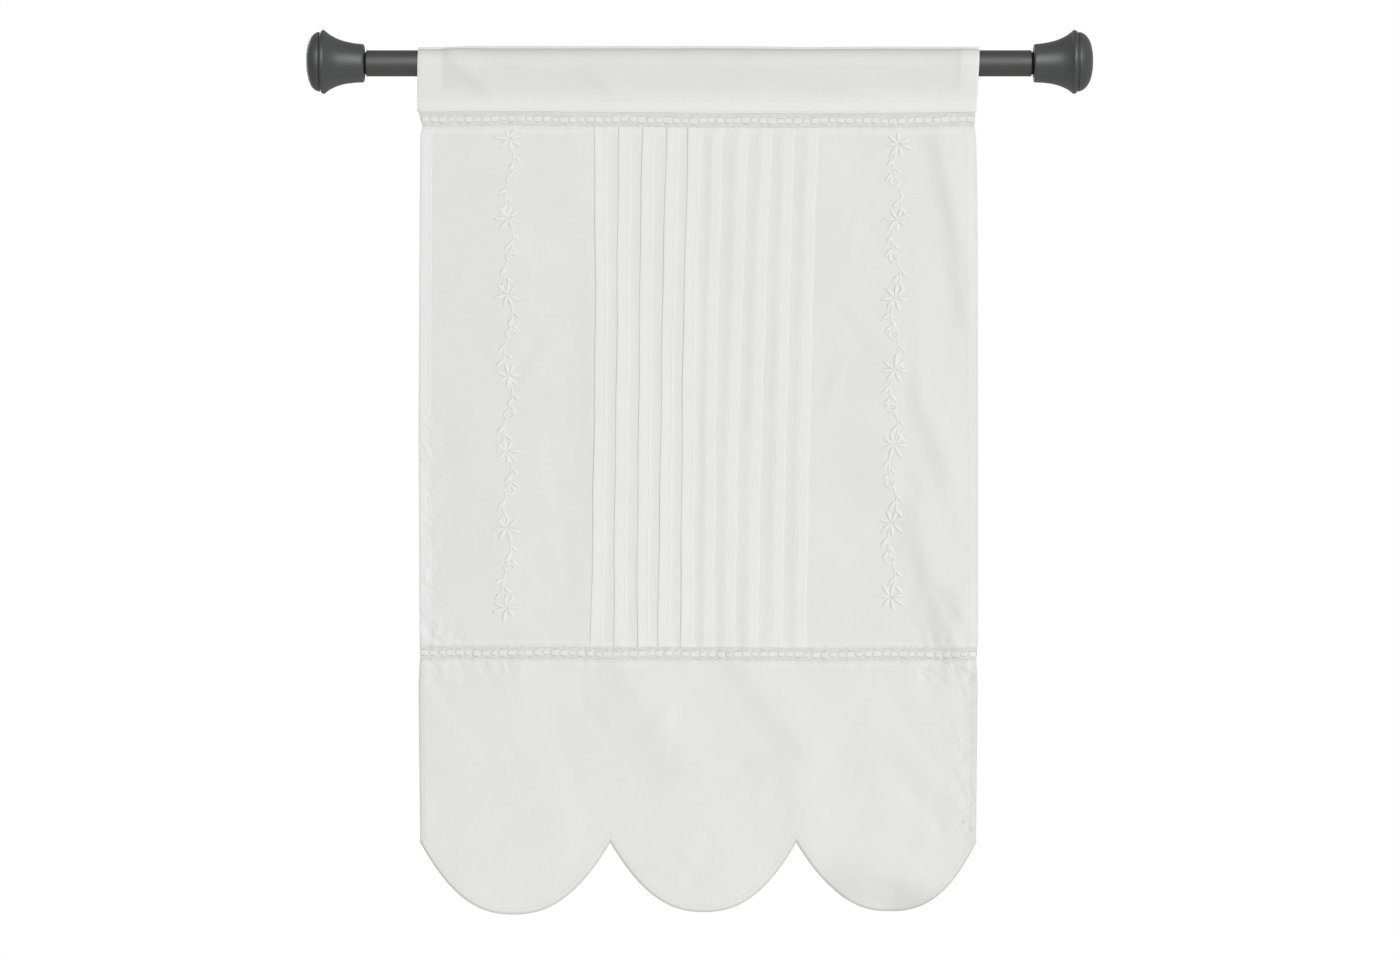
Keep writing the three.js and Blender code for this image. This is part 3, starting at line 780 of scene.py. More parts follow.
def valance():
    """The valance: hemmed at both sides, its scalloped edge turned behind it in a hem of even width."""
    start, end = LOBES[0, 0], LOBES[-1, 1]
    along, hem_high, _ = hem_run(NARROW_HEM)
    between = lobe_places(LOBE_COLUMNS)
    between = between[(between > start + along[-1] + 1) & (between < end - along[-1] - 1)]
    place = np.concatenate([start + along, between, end - along[::-1]])
    high = np.concatenate([hem_high, np.zeros(len(between)), hem_high[::-1]])
    edge, slope = scallop(place)
    square = np.sqrt(1 + slope**2)
    hem = scallop_hem(slope)
    share = bunched(VALANCE_ROWS)
    over = EDGE_TURN * np.sin(EDGE_ARC)
    near = np.linspace(1, 0, 6)
    level = np.ones(len(place))
    z = np.concatenate([
        VALANCE_TOP - np.outer(VALANCE_ALLOWANCE, level),
        VALANCE_TOP + np.outer(over, level),
        VALANCE_TOP + np.outer(share, edge + hem - VALANCE_TOP),
        edge + np.outer(near[1:], hem),
        edge - np.outer(over[::-1], 1 / square),
        edge + np.outer(near[:0:-1], hem),
    ])
    turn = np.concatenate([
        np.full(len(VALANCE_ALLOWANCE), np.pi), EDGE_ARC, np.zeros(len(share) + len(near) - 1),
        EDGE_ARC[::-1], np.full(len(near) - 1, np.pi),
    ])
    bulge = np.zeros(z.shape)
    under = slice(-len(over) - len(near) + 1, -len(near) + 1)
    bulge[under] = np.outer(over[::-1], slope / square)
    x = valance_x(place, z) + bulge
    from_side = np.minimum(place - start, end - place)
    behind = hem_depth(from_side, NARROW_HEM)
    from_scallop = (z - edge) / square
    points = lay_cloth(
        x, z, high, turn[:, None], behind, np.minimum(from_side, from_scallop), CURL["valance"],
    )
    # painted light on the allowance turned behind the valance's upper edge
    folds = PAINTED_LAYER_LIGHT["valance_top"] * (z > VALANCE_TOP - VALANCE_ALLOWANCE[0])
    flat = flat_places(np.broadcast_to(place, z.shape), np.broadcast_to(high, z.shape), z)
    # painted shade along the valance's right side
    painted_right_shade = PAINTED_RIGHT_SHADE["share"] * (1 - smooth(end - place, 0, PAINTED_RIGHT_SHADE["width"]))
    sides = painted_side_rims(place - start, end - place) + painted_right_shade
    # painted shade along the valance's sides and its scalloped edge
    painted_rim_shade = np.maximum(sides, PAINTED_EDGE_SHADE["scallop"] * (1 - smooth(from_scallop, 0, PAINTED_EDGE_SHADE["width"])))
    marks = {"folds": folds, "puckered": fold_sum(x, z, PUCKERED), "painted_rim_shade": painted_rim_shade}
    return thicken(put_mesh("valance_cloth", points, grid_faces(*z.shape), flat, **marks))


def pocket_section():
    """Section of the pocket as (y, z), up its back and down its front, and its outward directions.

    The crease stands up as a narrow ridge. Tangents run from the ridge's foot and from the pocket's foot to
    an arc about the rod. Below the foot is a tail, and its front layer is turned up inside it.
    """
    ridge = CREASE_RIDGE + (0, TOP_CREASE)
    neck, foot = ridge[-1], np.array([-SEAM_HALF, POCKET_FOOT])

    def tangent(point):
        """Angle of a point from the top about the rod, and from it to where its tangent meets the arc."""
        return np.arctan2(-point[0], point[1]), np.arccos(POCKET_RADIUS / np.hypot(*point))

    start, end = sum(tangent(neck)), np.subtract(*tangent(foot))
    turn = np.linspace(start, end, 26)
    arc = np.stack([-POCKET_RADIUS * np.sin(turn), POCKET_RADIUS * np.cos(turn)], axis=1)
    fall = np.linspace(0, 1, 16)[1:, None]
    pocket = np.concatenate([
        ridge, neck + (arc[0] - neck) * np.array([[0.35], [0.7]]), arc, arc[-1] + (foot - arc[-1]) * fall,
    ])
    low = HEADING_END + TAIL["turn"]
    down, share = np.linspace(0, 1, 8)[1:, None], np.linspace(0, 1, 7)[1:, None]
    front_tail = foot + (np.array([TAIL["front"], low]) - foot) * down
    under = np.pi * share
    turned_in = np.concatenate([
        TAIL["front"] + TAIL["turn"] * (1 - np.cos(under)), low - TAIL["turn"] * np.sin(under),
    ], axis=1)
    inside = turned_in[-1] + np.array([0, TAIL["allowance"]]) * np.array([[0.3], [0.7], [1]])
    back_foot = foot * (-1, 1)
    back_tail = back_foot + (np.array([TAIL["back"], HEADING_END]) - back_foot) * down
    section = np.concatenate([
        back_tail[::-1], (pocket * (-1, 1))[::-1], [(0, TOP_CREASE)], pocket, front_tail, turned_in, inside,
    ])
    along = np.gradient(section, axis=0)
    outward = np.stack([along[:, 1], -along[:, 0]], axis=1)
    return section, outward / np.linalg.norm(outward, axis=1, keepdims=True)


def single_hem(width):
    """Path across a hem turned once, from its raw edge: distance from the cloth's edge, height over it."""
    fold = turn_over(5)
    along = np.concatenate([
        (width, width * 0.6, width * 0.2), LAYER / 2 - LAYER / 2 * np.cos(fold),
        (width * 0.2, width * 0.5, width * 0.8, width + 0.3, width + 1),
    ])
    return along, np.concatenate([(-LAYER,) * 3, LAYER / 2 * (np.sin(fold) - 1), (0,) * 5])


def heading():
    """The pocket's section carried along the rod, hemmed at both ends and with its crease sagging.

    Each point moves outwards by its hem's height, the soft folds and ripples, and the gathers of the seam.
    """
    section, outward = pocket_section()
    y, z = section.T
    down = (TOP_CREASE - z) / (TOP_CREASE - HEADING_END)
    left, right = (top + (bottom - top) * down for top, bottom in HEADING_ENDS.values())
    (left_hem, left_high), (right_hem, right_high) = (single_hem(width) for width in HEADING_HEMS.values())
    first, last = left[:, None] + left_hem, right[:, None] - right_hem[::-1]
    x = np.concatenate([first, plain_run(first[:, -1], last[:, 0], HEADING_COLUMNS), last], axis=1)
    plain = np.zeros(HEADING_COLUMNS)
    high = np.concatenate([left_high, plain, right_high[::-1]])
    # painted light on the heading's hems
    hem_painted_light = np.repeat((PAINTED_LAYER_LIGHT["heading_hem"], 0), (len(left_hem) - 1, 1))
    hems = np.concatenate([hem_painted_light, plain, hem_painted_light[::-1]])
    z = np.broadcast_to(z[:, None], x.shape)
    free = np.where(y < 0, 1.0, POCKET_SOFT["back"])[:, None]
    loose = smooth(-z, *POCKET_LOOSE["from"]) * (1 - smooth(-z, *POCKET_LOOSE["to"]))
    ripples = ripple_sum(x * POCKET_SOFT["stretch"], z + POCKET_SOFT["shift"] * np.sign(y)[:, None])
    soft = fold_sum(x, z, DRAG_FOLDS) + POCKET_SOFT["ripple"] * ripples
    pinch = gathers(x + POCKET_PINCH["shift"], z - POCKET_FOOT) * smooth(-z, *POCKET_PINCH["from"])
    raised = high + np.maximum(free * loose * (soft - POCKET_SOFT["dent"]), -CLEARANCE) + pinch
    sag = smooth(z, SAG_FROM, TOP_CREASE) * np.interp((x - x[0, 0]) / (x[0, -1] - x[0, 0]), *CREASE_SAG.T)
    points = np.stack(np.broadcast_arrays(
        x, y[:, None] + outward[:, :1] * raised, z + outward[:, 1:] * raised - sag,
    ), axis=-1)
    # painted light: the pocket is painted whiter towards its sewn strip
    white = PAINTED_LAYER_LIGHT["pocket"] + (1 - PAINTED_LAYER_LIGHT["pocket"]) * smooth(-z, *POCKET_PAINTED_LIGHT)
    length = np.concatenate([[0], np.cumsum(np.linalg.norm(np.diff(section, axis=0), axis=1))])
    flat = flat_places(x, np.broadcast_to(high, x.shape), length[:, None])
    mesh = put_mesh("heading_cloth", points, grid_faces(*x.shape), flat, folds=np.maximum(hems, white))
    return thicken(mesh)


def lace(name):
    """One lace insertion: a net of threads leaning both ways, cords along it, and a chain of raised spots."""
    low, high = LACE_SPANS[name]
    high, low = high + LACE_TUCKED, low - LACE_TUCKED
    left, right = (float(edge) for edge in side_edges(np.array((high + low) / 2)))
    tall = high - low

    def lie(x, share, forward=0.0):
        """Points at x and at a share of the way down, on the hanging cloth and between its side edges."""
        z = high - tall * share
        for stray, length, phase in LACE_STRAY:
            z = z + stray * np.sin(x / length + phase * high)
        start, end = side_edges(z)
        x = start + (end - start) * (x - left) / (right - left)
        return np.stack(np.broadcast_arrays(x, hang(x, z) + LACE_DEPTH - forward, z), axis=-1)

    share = np.linspace(0, 1, 13)
    net = []
    for lean in (1, -1):
        feet = np.arange(left - 0.5 * tall, right + 0.5 * tall, NET_STEP)[:, None]
        x = np.clip(feet + lean * tall * (share - 0.5), left + 0.3, right - 0.3)
        weave = lean * NET_OVER * np.cos(np.pi * tall * share / NET_STEP)
        net.append(tubes(lie(x, share, weave), NET_THREAD, NET_THREAD, sides=4))
    x = np.linspace(left, right, CORD["points"])
    trim = []
    for at, thick in LACE_CORDS:
        twist = thick * (1 + CORD["ridge"] * np.cos(x / CORD["twist"]))
        trim.append(tubes(lie(x, at, CORD["forward"])[None], twist, twist, sides=6))
    count = round((right - left) / LACE_PITCH)
    middle = left + (np.arange(count) + 0.5) * (right - left) / count
    across = np.linspace(-1, 1, 9)
    oval = np.sqrt(1 - np.abs(across * LACE_SPOT["blunt"]) ** 3)
    size = 1 + SPOT_SIZES["uneven"] * np.sin(SPOT_SIZES["beat"] * middle + high)[:, None]
    path = lie(middle[:, None] + across * LACE_SPOT["half_width"] * size, 0.5, LACE_SPOT["forward"])
    half_height = oval * size * tall * LACE_SPOT["half_height"]
    trim.append(tubes(path, half_height, oval * LACE_SPOT["rise"], PADDED_SIDES))
    pieces = [put_mesh(name + "_net", *joined(net)), put_mesh(name + "_cords_and_spots", *joined(trim))]
    return pieces, (right - left, tall)


# Embroidery and stitches

def on_cloth(x, z, over=0.0):
    """Points on the front of the plain cloth, or in front of it."""
    return np.stack(np.broadcast_arrays(x, hang(x, z) - over - CLOTH / 2, z), axis=-1)


def pads(x, z, turn, length, half_width, rise, plump=0.6):
    """Padded satin stitches: pointed lenses that start at (x, z) and run at an angle over the cloth.

    Along a lens both half sizes follow sin(pi * share) ** plump.
    """
    share = np.linspace(0, 1, 9)
    along = np.multiply.outer(length * np.ones_like(x), share)
    path = on_cloth(x[:, None] + along * np.cos(turn)[:, None], z[:, None] + along * np.sin(turn)[:, None])
    form = np.clip(np.sin(np.pi * share), 0.08, 1) ** plump
    wide, high = (np.multiply.outer(size * np.ones_like(x), form) for size in (half_width, rise))
    return tubes(path, wide, high, PADDED_SIDES)


def vine(index, x0, z0, x1, z1, sway, first_padding, last_padding):
    """One embroidered vine: a swaying stem, star flowers, and between them ring buds and leaves."""
    draws = np.random.default_rng(VINE_SEED + index)
    pitch = (z0 - z1) / (FLOWERS - 1)

    def stem_x(z):
        """Place of the stem at a height: a straight line and a sine wave about it."""
        wave = np.sin(2 * np.pi * (z0 - z) / pitch)
        return x0 + (x1 - x0) * (z - z0) / (z1 - z0) + sway * STEM["sway"] * wave

    def padded(z):
        """Share of the full padding at a height."""
        return first_padding + (last_padding - first_padding) * (z - z0) / (z1 - z0)

    z = np.linspace(z0, z1, STEM["points"])
    path = on_cloth(stem_x(z), z)[None]
    length = np.cumsum(np.hypot(np.gradient(stem_x(z)), np.gradient(z)))
    around = 2 * np.pi * np.arange(PADDED_SIDES) / PADDED_SIDES
    relief = 1 + STEM["ridge"] * np.cos(around - 2 * np.pi * length[:, None] / STEM["twist"])
    parts = [tubes(path, STEM["half_width"], padded(z) * STEM["rise"], PADDED_SIDES, relief[None])]
    flower_z = z0 - pitch * np.arange(FLOWERS) + draws.uniform(-FLOWER_STRAY, FLOWER_STRAY, FLOWERS)
    start = draws.uniform(0, 2 * np.pi / PETALS, FLOWERS)
    spread = start[:, None] + 2 * np.pi * np.arange(PETALS) / PETALS
    turn = (spread + draws.normal(0, PETAL["stray"], (FLOWERS, PETALS))).ravel()
    centre_z = np.repeat(flower_z, PETALS)
    centre_x = np.repeat(stem_x(flower_z), PETALS)
    size = PETAL["length"] * draws.uniform(*PETAL["sizes"], centre_x.shape)
    room = (PANEL_TOP - SEAM_MARGIN - centre_z) / np.maximum(np.sin(turn), 1e-3) - PETAL["inner"]
    parts.append(pads(
        centre_x + PETAL["inner"] * np.cos(turn), centre_z + PETAL["inner"] * np.sin(turn), turn,
        np.minimum(size, room), PETAL["half_width"], padded(centre_z) * PETAL["rise"],
    ))
    bud_z = flower_z[:-1] - pitch / 2
    bud_x = stem_x(bud_z) + sway * BUD["aside"]
    ring = np.linspace(0, 2 * np.pi, 36)
    circle_x = bud_x[:, None] + BUD["radius"] * np.cos(ring)
    circle_z = bud_z[:, None] + BUD["radius"] * np.sin(ring) * BUD["squash"]
    uneven = 1 + BUD_RIDGES["height"] * np.cos(ring * BUD_RIDGES["count"])
    high = padded(bud_z)[:, None] * BUD["rise"] * uneven
    parts.append(tubes(on_cloth(circle_x, circle_z), BUD["half_width"] * uneven, high, PADDED_SIDES))
    parts.append(pads(
        bud_x - BUD_EYE["length"] / 2, bud_z, np.zeros(len(bud_x)), BUD_EYE["length"],
        BUD_EYE["half_width"], BUD_EYE["rise"] * padded(bud_z), BUD_EYE["plump"],
    ))
    for share, side, lean in LEAVES:
        leaf_z = flower_z[:-1] - pitch * share
        leaf_turn = np.radians(-90 + side * sway * lean) + draws.normal(0, LEAF["stray"], len(leaf_z))
        parts.append(pads(
            stem_x(leaf_z), leaf_z, leaf_turn, LEAF["length"] * draws.uniform(*LEAF["sizes"], len(leaf_z)),
            LEAF["half_width"], padded(leaf_z) * LEAF["rise"], LEAF["plump"],
        ))
    return put_mesh(f"embroidered_vine_{index + 1}", *joined(parts))


def sewn(path):
    """Small stitches along a sewn line of points: each a short arch of thread, sunk in at its ends."""
    steps = np.linalg.norm(np.diff(path, axis=0), axis=1)
    length = np.concatenate([[0], np.cumsum(steps)])
    middles = np.arange(STITCH["pitch"] / 2, length[-1] - STITCH["pitch"] / 2, STITCH["pitch"])
    along = np.linspace(-0.5, 0.5, 5)
    at = middles[:, None] + along * STITCH["length"]
    points = np.stack([np.interp(at, length, path[:, axis]) for axis in range(3)], axis=-1)
    bow = np.sqrt(np.clip(1 - (STITCH["arch"] * along) ** 2, 0.02, 1))
    points[..., 1] += STITCH["rise"] * (STITCH["sunk"] - bow)
    return tubes(points, STITCH["half_width"], STITCH["rise"], sides=4)


def panel_stitches():
    """Stitches along the panel's tucks and side hems, and along its turned edges beside the tucks."""
    end = SEWN_ENDS["edge"]
    z = np.linspace(PANEL_TOP - end, PANEL_END + end, 300)
    parts = []
    for index, faces in enumerate(TUCKS[:, 0]):
        fold_x, lifted = folded_edge(index, z)
        x = fold_x + faces * (TUCK_DEPTH - STITCHED["tuck"])
        parts.append(sewn(on_cloth(x, z, 1.5 * TUCK_LAYER * lifted)))
    left, right = side_edges(z)
    for x in (left + SIDE_HEM - STITCHED["hem"], right - SIDE_HEM + STITCHED["hem"]):
        parts.append(sewn(on_cloth(x, z)))
    for height, inset in ((PANEL_TOP, -STITCHED["edge"]), (PANEL_END, STITCHED["edge"])):
        left, right = side_edges(np.array(height))
        first_tuck, last_tuck = TUCKS[0, 1] - SEWN_ENDS["tucks"], TUCKS[-1, 1] + SEWN_ENDS["tucks"]
        for start, stop in ((left + end, first_tuck), (last_tuck, right - end)):
            parts.append(sewn(on_cloth(np.linspace(start, stop, 120), height + inset)))
    return put_mesh("panel_stitches", *joined(parts))


def valance_stitches():
    """Stitches along the valance's scalloped hem, side hems and upper edge."""
    start, end = LOBES[0, 0], LOBES[-1, 1]
    place = lobe_places(60)
    place = place[(place > start + SEWN_ENDS["scallop"]) & (place < end - SEWN_ENDS["scallop"])]
    edge, slope = scallop(place)
    z = edge + scallop_hem(slope) - STITCHED["narrow_hem"]
    parts = [sewn(on_cloth(valance_x(place, z), z))]
    inside = NARROW_HEM - STITCHED["narrow_hem"]
    for place in (start + inside, end - inside):
        bottom = float(scallop(np.array([place]))[0][0])
        z = np.linspace(VALANCE_TOP - SEWN_ENDS["edge"], bottom + NARROW_HEM + SEWN_ENDS["edge"], 120)
        parts.append(sewn(on_cloth(valance_x(place, z), z)))
    z = VALANCE_TOP - STITCHED["edge"]
    left, right = side_edges(z)
    x = np.linspace(left + SEWN_ENDS["edge"], right - SEWN_ENDS["edge"], 300)
    parts.append(sewn(on_cloth(x, z)))
    return put_mesh("valance_stitches", *joined(parts))


def heading_stitches():
    """Two sewn lines along the heading's seam strip."""
    parts = []
    for z in (POCKET_FOOT - STITCHED["strip"], HEADING_END + STITCHED["edge"]):
        x = np.linspace(*HEADING_SEWN, 400)
        front = np.interp(z, (HEADING_END, POCKET_FOOT), (TAIL["front"], -SEAM_HALF))
        parts.append(sewn(np.stack(np.broadcast_arrays(x, front - CLOTH / 2, z), axis=-1)))
    return put_mesh("heading_stitches", *joined(parts))


# Rod and caps

def through(sections, steps):
    """Smooth curve through points: a cubic between each two, whose slope at each is set by its neighbours."""
    points = np.array(sections, dtype=float)
    padded = np.concatenate([points[:1], points, points[-1:]])
    slope = (padded[2:] - padded[:-2]) / 2
    share = np.linspace(0, 1, steps, endpoint=False)[:, None]
    a, b = points[:-1, None], points[1:, None]
    s, t = slope[:-1, None], slope[1:, None]
    curve = (
        (2 * share**3 - 3 * share**2 + 1) * a + (share**3 - 2 * share**2 + share) * s
        + (3 * share**2 - 2 * share**3) * b + (share**3 - share**2) * t
    )
    return np.concatenate([curve.reshape(-1, 2), points[-1:]])


def turned(name, section, tilt=0.0):
    """A piece turned about the rod's axis from (radius, x) places, its outside running towards +X.

    A tilted piece rises evenly from the mouth of the cap at its end of the rod.
    """
    radius, along = np.asarray(section, dtype=float).T
    turn = 2 * np.pi * np.arange(TURNED_SIDES) / TURNED_SIDES
    pivot = np.sign(tilt) * MOUTH
    z = radius[:, None] * np.sin(turn) + (along[:, None] - pivot) * np.tan(tilt)
    points = np.stack(np.broadcast_arrays(along[:, None], -radius[:, None] * np.cos(turn), z), axis=-1)
    flat = np.stack(np.broadcast_arrays(along[:, None], turn * TURNED_FLAT), axis=-1)
    obj = put_mesh(name, points, grid_faces(len(along), TURNED_SIDES, wrap=True), flat)
    merge_poles(obj)
    return obj


def rod():
    """The rod, narrowed at the mouths of its caps."""
    shoulder, bevel = MOUTH - NECK["from"], NECK["bevel"]
    half = [
        (ROD_RADIUS, 0), (ROD_RADIUS, shoulder - 3 * bevel), (ROD_RADIUS, shoulder - bevel),
        (ROD_RADIUS - bevel, shoulder), (NECK["radius"], MOUTH - NECK["to"]), (NECK["radius"], ROD_END),
        (0, ROD_END),
    ]
    section = [(radius, -x) for radius, x in half[:0:-1]] + half
    return turned("rod_tube", section)


def end_cap(name, side):
    """A cap: its socket from the floor out to the mouth, then its lip, flare, bead, groove and dome."""
    wall, depth = SOCKET["radius"], SOCKET["depth"]
    turn = np.linspace(CAP_BEAD["to"], CAP_BEAD["from"], 12) * np.pi
    ring = CAP_BEAD["size"] * np.stack([np.cos(turn), np.sin(turn)], axis=1)
    bead = (CAP_BEAD["radius"], CAP_BEAD["along"]) + ring
    section = np.concatenate([
        [(0, depth), (wall, depth), (wall, SOCKET["chamfer"])], CAP_LIP[::-1],
        through(CAP_FLARE[::-1], 5), bead, CAP_GROOVE[::-1], through(CAP_DOME[::-1], 6), [(0, CAP_LENGTH)],
    ])
    section[:, 1] = side * (MOUTH + section[:, 1])
    return turned(name, section[:: side], side * np.radians(CAP_TILT))


# Materials

def add_node(tree, kind, inputs=None, **settings):
    """Adds a shader node, with its settings, and with each input set to a value or linked to a socket."""
    node = tree.nodes.new("ShaderNode" + kind)
    for key, value in settings.items():
        setattr(node, key, value)
    for key, value in (inputs or {}).items():
        if isinstance(value, bpy.types.NodeSocket):
            tree.links.new(value, node.inputs[key])
        else:
            node.inputs[key].default_value = value
    return node


def new_material(name):
    """An empty material with its node tree and output."""
    material = bpy.data.materials.new(name)
    material.use_nodes = True
    tree = material.node_tree
    tree.nodes.clear()
    return material, tree, tree.nodes.new("ShaderNodeOutputMaterial")


def calculate(tree, operation, first, second=0.0):
    """Result of one Math node."""
    return add_node(tree, "Math", {0: first, 1: second}, operation=operation).outputs[0]


def noise(tree, where, scale, detail, distortion=0.0):
    """Soft noise over places, with its patches to a metre, its finer layers and its distortion."""
    inputs = {"Vector": where, "Scale": scale, "Detail": detail, "Distortion": distortion}
    return add_node(tree, "TexNoise", inputs).outputs["Fac"]


def ranged(tree, value, low, high, start=0.0, end=1.0):
    """A value moved from the range of low to high to the range of start to end."""
    return add_node(tree, "MapRange", {0: value, 1: low, 2: high, 3: start, 4: end}).outputs[0]


def marked(tree, mark):
    """A mark at the points of the mesh."""
    return add_node(tree, "Attribute", attribute_name=mark).outputs["Fac"]


def slubs(tree, flat, across, along):
    """Uneven thickness of the threads in one direction: noise drawn out along them."""
    stretched = add_node(tree, "Mapping", {"Vector": flat, "Scale": (across, along, 1)}).outputs[0]
    return noise(tree, stretched, 1.0, 2.0)


def mix_colour(tree, factor, first, second):
    """Colour between two others, or past the second where the factor is over 1."""
    node = add_node(tree, "Mix", data_type="RGBA", clamp_factor=False)
    for socket, value in ((0, factor), (6, first), (7, second)):
        if isinstance(value, bpy.types.NodeSocket):
            tree.links.new(value, node.inputs[socket])
        else:
            node.inputs[socket].default_value = value if socket == 0 else (*value, 1)
    return node.outputs[2]


def cotton_material():
    """Thin plain-weave cotton: crossing threads with slubs, painted whiter where it lies folded as painted
    light, a little sheer.

    The weave is sin(warp) * sin(weft). Its outline is painted darker as painted shade, and fine puckers are
    noise drawn out at a slant.
    """
    material, tree, output = new_material("plain_weave_cotton")
    flat = add_node(tree, "UVMap", uv_map="flat").outputs[0]
    place = add_node(tree, "SeparateXYZ", {0: flat})
    warp = calculate(tree, "SINE", calculate(tree, "MULTIPLY", place.outputs[0], np.pi / THREAD_PITCH))
    weft = calculate(tree, "SINE", calculate(tree, "MULTIPLY", place.outputs[1], np.pi / THREAD_PITCH))
    weave = calculate(tree, "MULTIPLY", warp, weft)
    uneven = calculate(tree, "ADD", slubs(tree, flat, 45, 1300), slubs(tree, flat, 1500, 50))
    tone = ranged(tree, uneven, 0.7, 1.3)
    patch = ranged(tree, noise(tree, flat, 17.0, 3.0), 0.3, 0.7)
    tone = calculate(tree, "MULTIPLY", calculate(tree, "ADD", tone, patch), 0.5)
    colour = mix_colour(tree, tone, COTTON_THIN, COTTON_THICK)
    # painted light: whiter where the cloth lies in layers
    colour = mix_colour(tree, marked(tree, "folds"), colour, COTTON_PAINTED_LIGHT)
    # painted shade: darker along the cloth's outline
    colour = mix_colour(tree, marked(tree, "painted_rim_shade"), colour, COTTON_PAINTED_SHADE)
    slanted = add_node(tree, "Mapping", {
        "Vector": flat, "Rotation": (0, 0, FINE_PUCKER["turn"]),
        "Scale": (FINE_PUCKER["across"] * MM, FINE_PUCKER["along"] * MM, 1),
    }, vector_type="TEXTURE").outputs[0]
    crumple = noise(tree, slanted, 1.0, 1.0, distortion=0.8)
    puckers = add_node(tree, "Bump", {
        "Strength": 1.0, "Distance": FINE_PUCKER["height"] * MM,
        "Height": calculate(tree, "MULTIPLY", crumple, marked(tree, "puckered")),
    }).outputs[0]
    height = calculate(tree, "ADD", calculate(tree, "MULTIPLY", weave, 0.5), uneven)
    bump = add_node(tree, "Bump", {
        "Strength": 0.35, "Distance": 0.00012, "Height": height, "Normal": puckers,
    }).outputs[0]
    cloth = add_node(tree, "BsdfPrincipled", {
        "Base Color": colour, "Roughness": 0.92, "Specular IOR Level": 0.2, "Sheen Weight": 0.12,
        "Sheen Roughness": 0.6, "Normal": bump,
    })
    through_light = add_node(tree, "BsdfTranslucent", {"Color": colour, "Normal": bump})
    mixed = add_node(tree, "MixShader", {0: 0.12, 1: cloth.outputs[0], 2: through_light.outputs[0]})
    tree.links.new(mixed.outputs[0], output.inputs[0])
    return material


def thread_material(name, colour, shade, pitch, slant, roughness, sheen):
    """Twisted cotton thread: ridges that wind round it, and a colour that varies slowly along it."""
    material, tree, output = new_material(name)
    flat = add_node(tree, "UVMap", uv_map="flat").outputs[0]
    place = add_node(tree, "SeparateXYZ", {0: flat})
    along = calculate(tree, "MULTIPLY", place.outputs[0], 2 * np.pi / pitch)
    around = calculate(tree, "MULTIPLY", place.outputs[1], 2 * np.pi * slant)
    ridge = calculate(tree, "SINE", calculate(tree, "ADD", along, around))
    where = add_node(tree, "TexCoord").outputs["Object"]
    patch = noise(tree, where, 380.0, 2.0)
    bump = add_node(tree, "Bump", {"Strength": 0.45, "Distance": 0.00012, "Height": ridge}).outputs[0]
    thread = add_node(tree, "BsdfPrincipled", {
        "Base Color": mix_colour(tree, patch, shade, colour), "Roughness": roughness,
        "Specular IOR Level": 0.3, "Sheen Weight": sheen, "Sheen Roughness": 0.4, "Normal": bump,
    })
    tree.links.new(thread.outputs[0], output.inputs[0])
    return material


def satin_material(name, colour, light, roughness, grain):
    """Dark satin finish: a fine grain, and slow changes of tone and gloss."""
    material, tree, output = new_material(name)
    where = add_node(tree, "TexCoord").outputs["Object"]
    fine = noise(tree, where, grain, 3.0)
    slow = noise(tree, where, 45.0, 2.0)
    gloss = ranged(tree, slow, 0.3, 0.7, roughness - 0.04, roughness + 0.05)
    bump = add_node(tree, "Bump", {"Strength": 0.12, "Distance": 0.0001, "Height": fine}).outputs[0]
    skin = add_node(tree, "BsdfPrincipled", {
        "Base Color": mix_colour(tree, slow, colour, light), "Roughness": gloss,
        "Specular IOR Level": 0.5, "Normal": bump,
    })
    tree.links.new(skin.outputs[0], output.inputs[0])
    return material


# Stage

def floor():
    """Round pale floor below the curtain, as rings of points."""
    radius = np.linspace(0.001, FLOOR["radius"], FLOOR["rings"])[:, None]
    turn = 2 * np.pi * np.arange(FLOOR["sides"]) / FLOOR["sides"]
    points = np.stack(np.broadcast_arrays(
        radius * np.cos(turn), radius * np.sin(turn), float(FLOOR["height"]),
    ), axis=-1)
    obj = put_mesh("floor", points, grid_faces(FLOOR["rings"], FLOOR["sides"], wrap=True), points[..., :2])
    material, tree, output = new_material("pale_floor")
    paint = add_node(tree, "BsdfPrincipled", {"Base Color": (*FLOOR_PAINT, 1), "Roughness": 0.8})
    tree.links.new(paint.outputs[0], output.inputs[0])
    obj.data.materials.append(material)


def softbox(name, place, size, power, shown_in):
    """An area light at a place, facing the curtain, that shows in the diffuse light, the gloss or both."""
    light = bpy.data.lights.new(name, "AREA")
    light.shape = "RECTANGLE"
    light.size, light.size_y = size
    light.energy = power
    obj = bpy.data.objects.new(name, light)
    obj.location = place
    obj.rotation_euler = (Vector(LIT_PLACE) - Vector(place)).to_track_quat("-Z", "Y").to_euler()
    obj.visible_camera = False
    obj.visible_diffuse = shown_in != "gloss"
    obj.visible_glossy = shown_in != "diffuse"
    bpy.context.scene.collection.objects.link(obj)


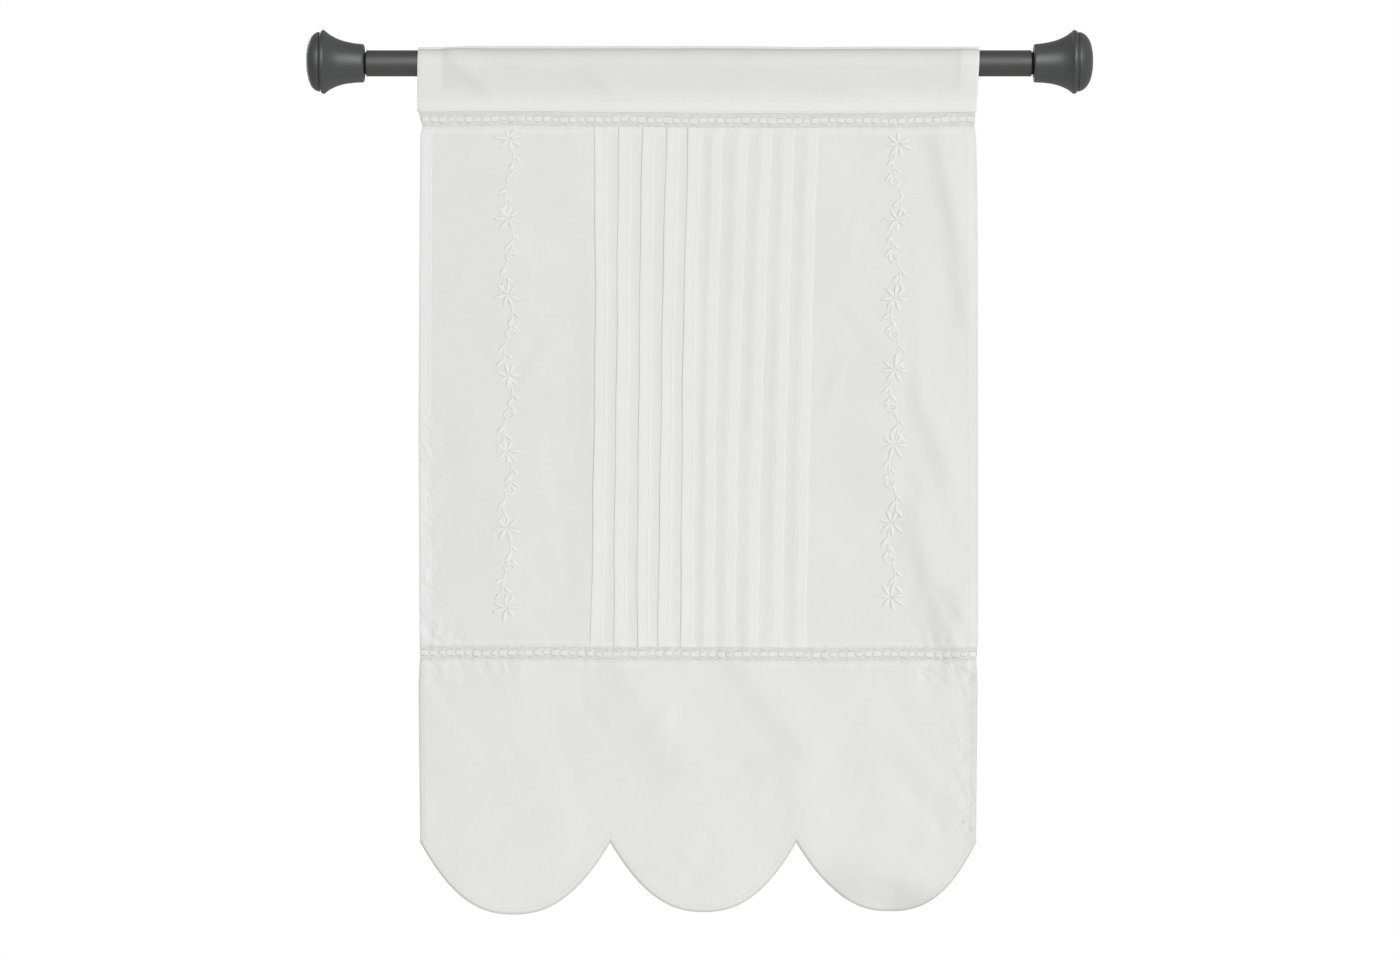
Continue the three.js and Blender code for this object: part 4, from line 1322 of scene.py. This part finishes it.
def studio():
    """White surroundings for the camera, dim ones for the light, softboxes, and the camera straight on."""
    scene = bpy.context.scene
    scene.view_settings.view_transform = "Standard"
    world = bpy.data.worlds.new("studio")
    world.use_nodes = True
    tree = world.node_tree
    tree.nodes.clear()
    seen = add_node(tree, "LightPath").outputs["Is Camera Ray"]
    dim = add_node(tree, "Background", {"Color": (1, 1, 1, 1), "Strength": SURROUNDINGS["lit"]})
    white = add_node(tree, "Background", {"Color": (1, 1, 1, 1), "Strength": SURROUNDINGS["seen"]})
    mixed = add_node(tree, "MixShader", {0: seen, 1: dim.outputs[0], 2: white.outputs[0]})
    output = tree.nodes.new("ShaderNodeOutputWorld")
    tree.links.new(mixed.outputs[0], output.inputs[0])
    scene.world = world
    for row in SOFTBOXES:
        softbox(*row)
    camera = bpy.data.objects.new("camera", bpy.data.cameras.new("camera"))
    camera.data.lens, camera.data.sensor_width = CAMERA["lens"], CAMERA["sensor"]
    camera.location = CAMERA["place"]
    camera.rotation_euler = (np.pi / 2, 0, 0)
    scene.collection.objects.link(camera)
    scene.camera = camera


# Making

studio()
floor()

cotton = cotton_material()
lace_thread = thread_material(
    "lace_thread", colour=(0.795, 0.802, 0.759), shade=(0.73, 0.737, 0.693),
    pitch=0.0011, slant=1, roughness=0.85, sheen=0.1,
)
white_thread = thread_material(
    "embroidery_thread", colour=(0.85, 0.85, 0.835), shade=(0.8, 0.8, 0.785),
    pitch=0.0006, slant=0.4, roughness=0.6, sheen=0.25,
)
lacquer = satin_material(
    "rod_lacquer", colour=(0.042, 0.044, 0.042), light=(0.052, 0.054, 0.051), roughness=0.5, grain=900,
)
plastic = satin_material(
    "cap_plastic", colour=(0.049, 0.051, 0.05), light=(0.06, 0.063, 0.061), roughness=0.42, grain=700,
)

dress(rod(), lacquer, ["rod"])
dress(end_cap("cap_left", -1), plastic, ["end_cap_left"])
dress(end_cap("cap_right", 1), plastic, ["end_cap_right"])
heading_cloth = dress(heading(), cotton, ["heading"])
panel = dress(main_panel(), cotton, ["main_panel"])
valance_cloth = dress(valance(), cotton, ["valance"])
vines = [dress(vine(index, *row), white_thread) for index, row in enumerate(VINES)]
seams = {
    "heading": dress(heading_stitches(), white_thread),
    "panel": dress(panel_stitches(), white_thread),
    "valance": dress(valance_stitches(), white_thread),
}
for name in LACE_SPANS:
    (net, trim), (wide, tall) = lace(name)
    dress(net, lace_thread, [name])
    dress(trim, lace_thread)
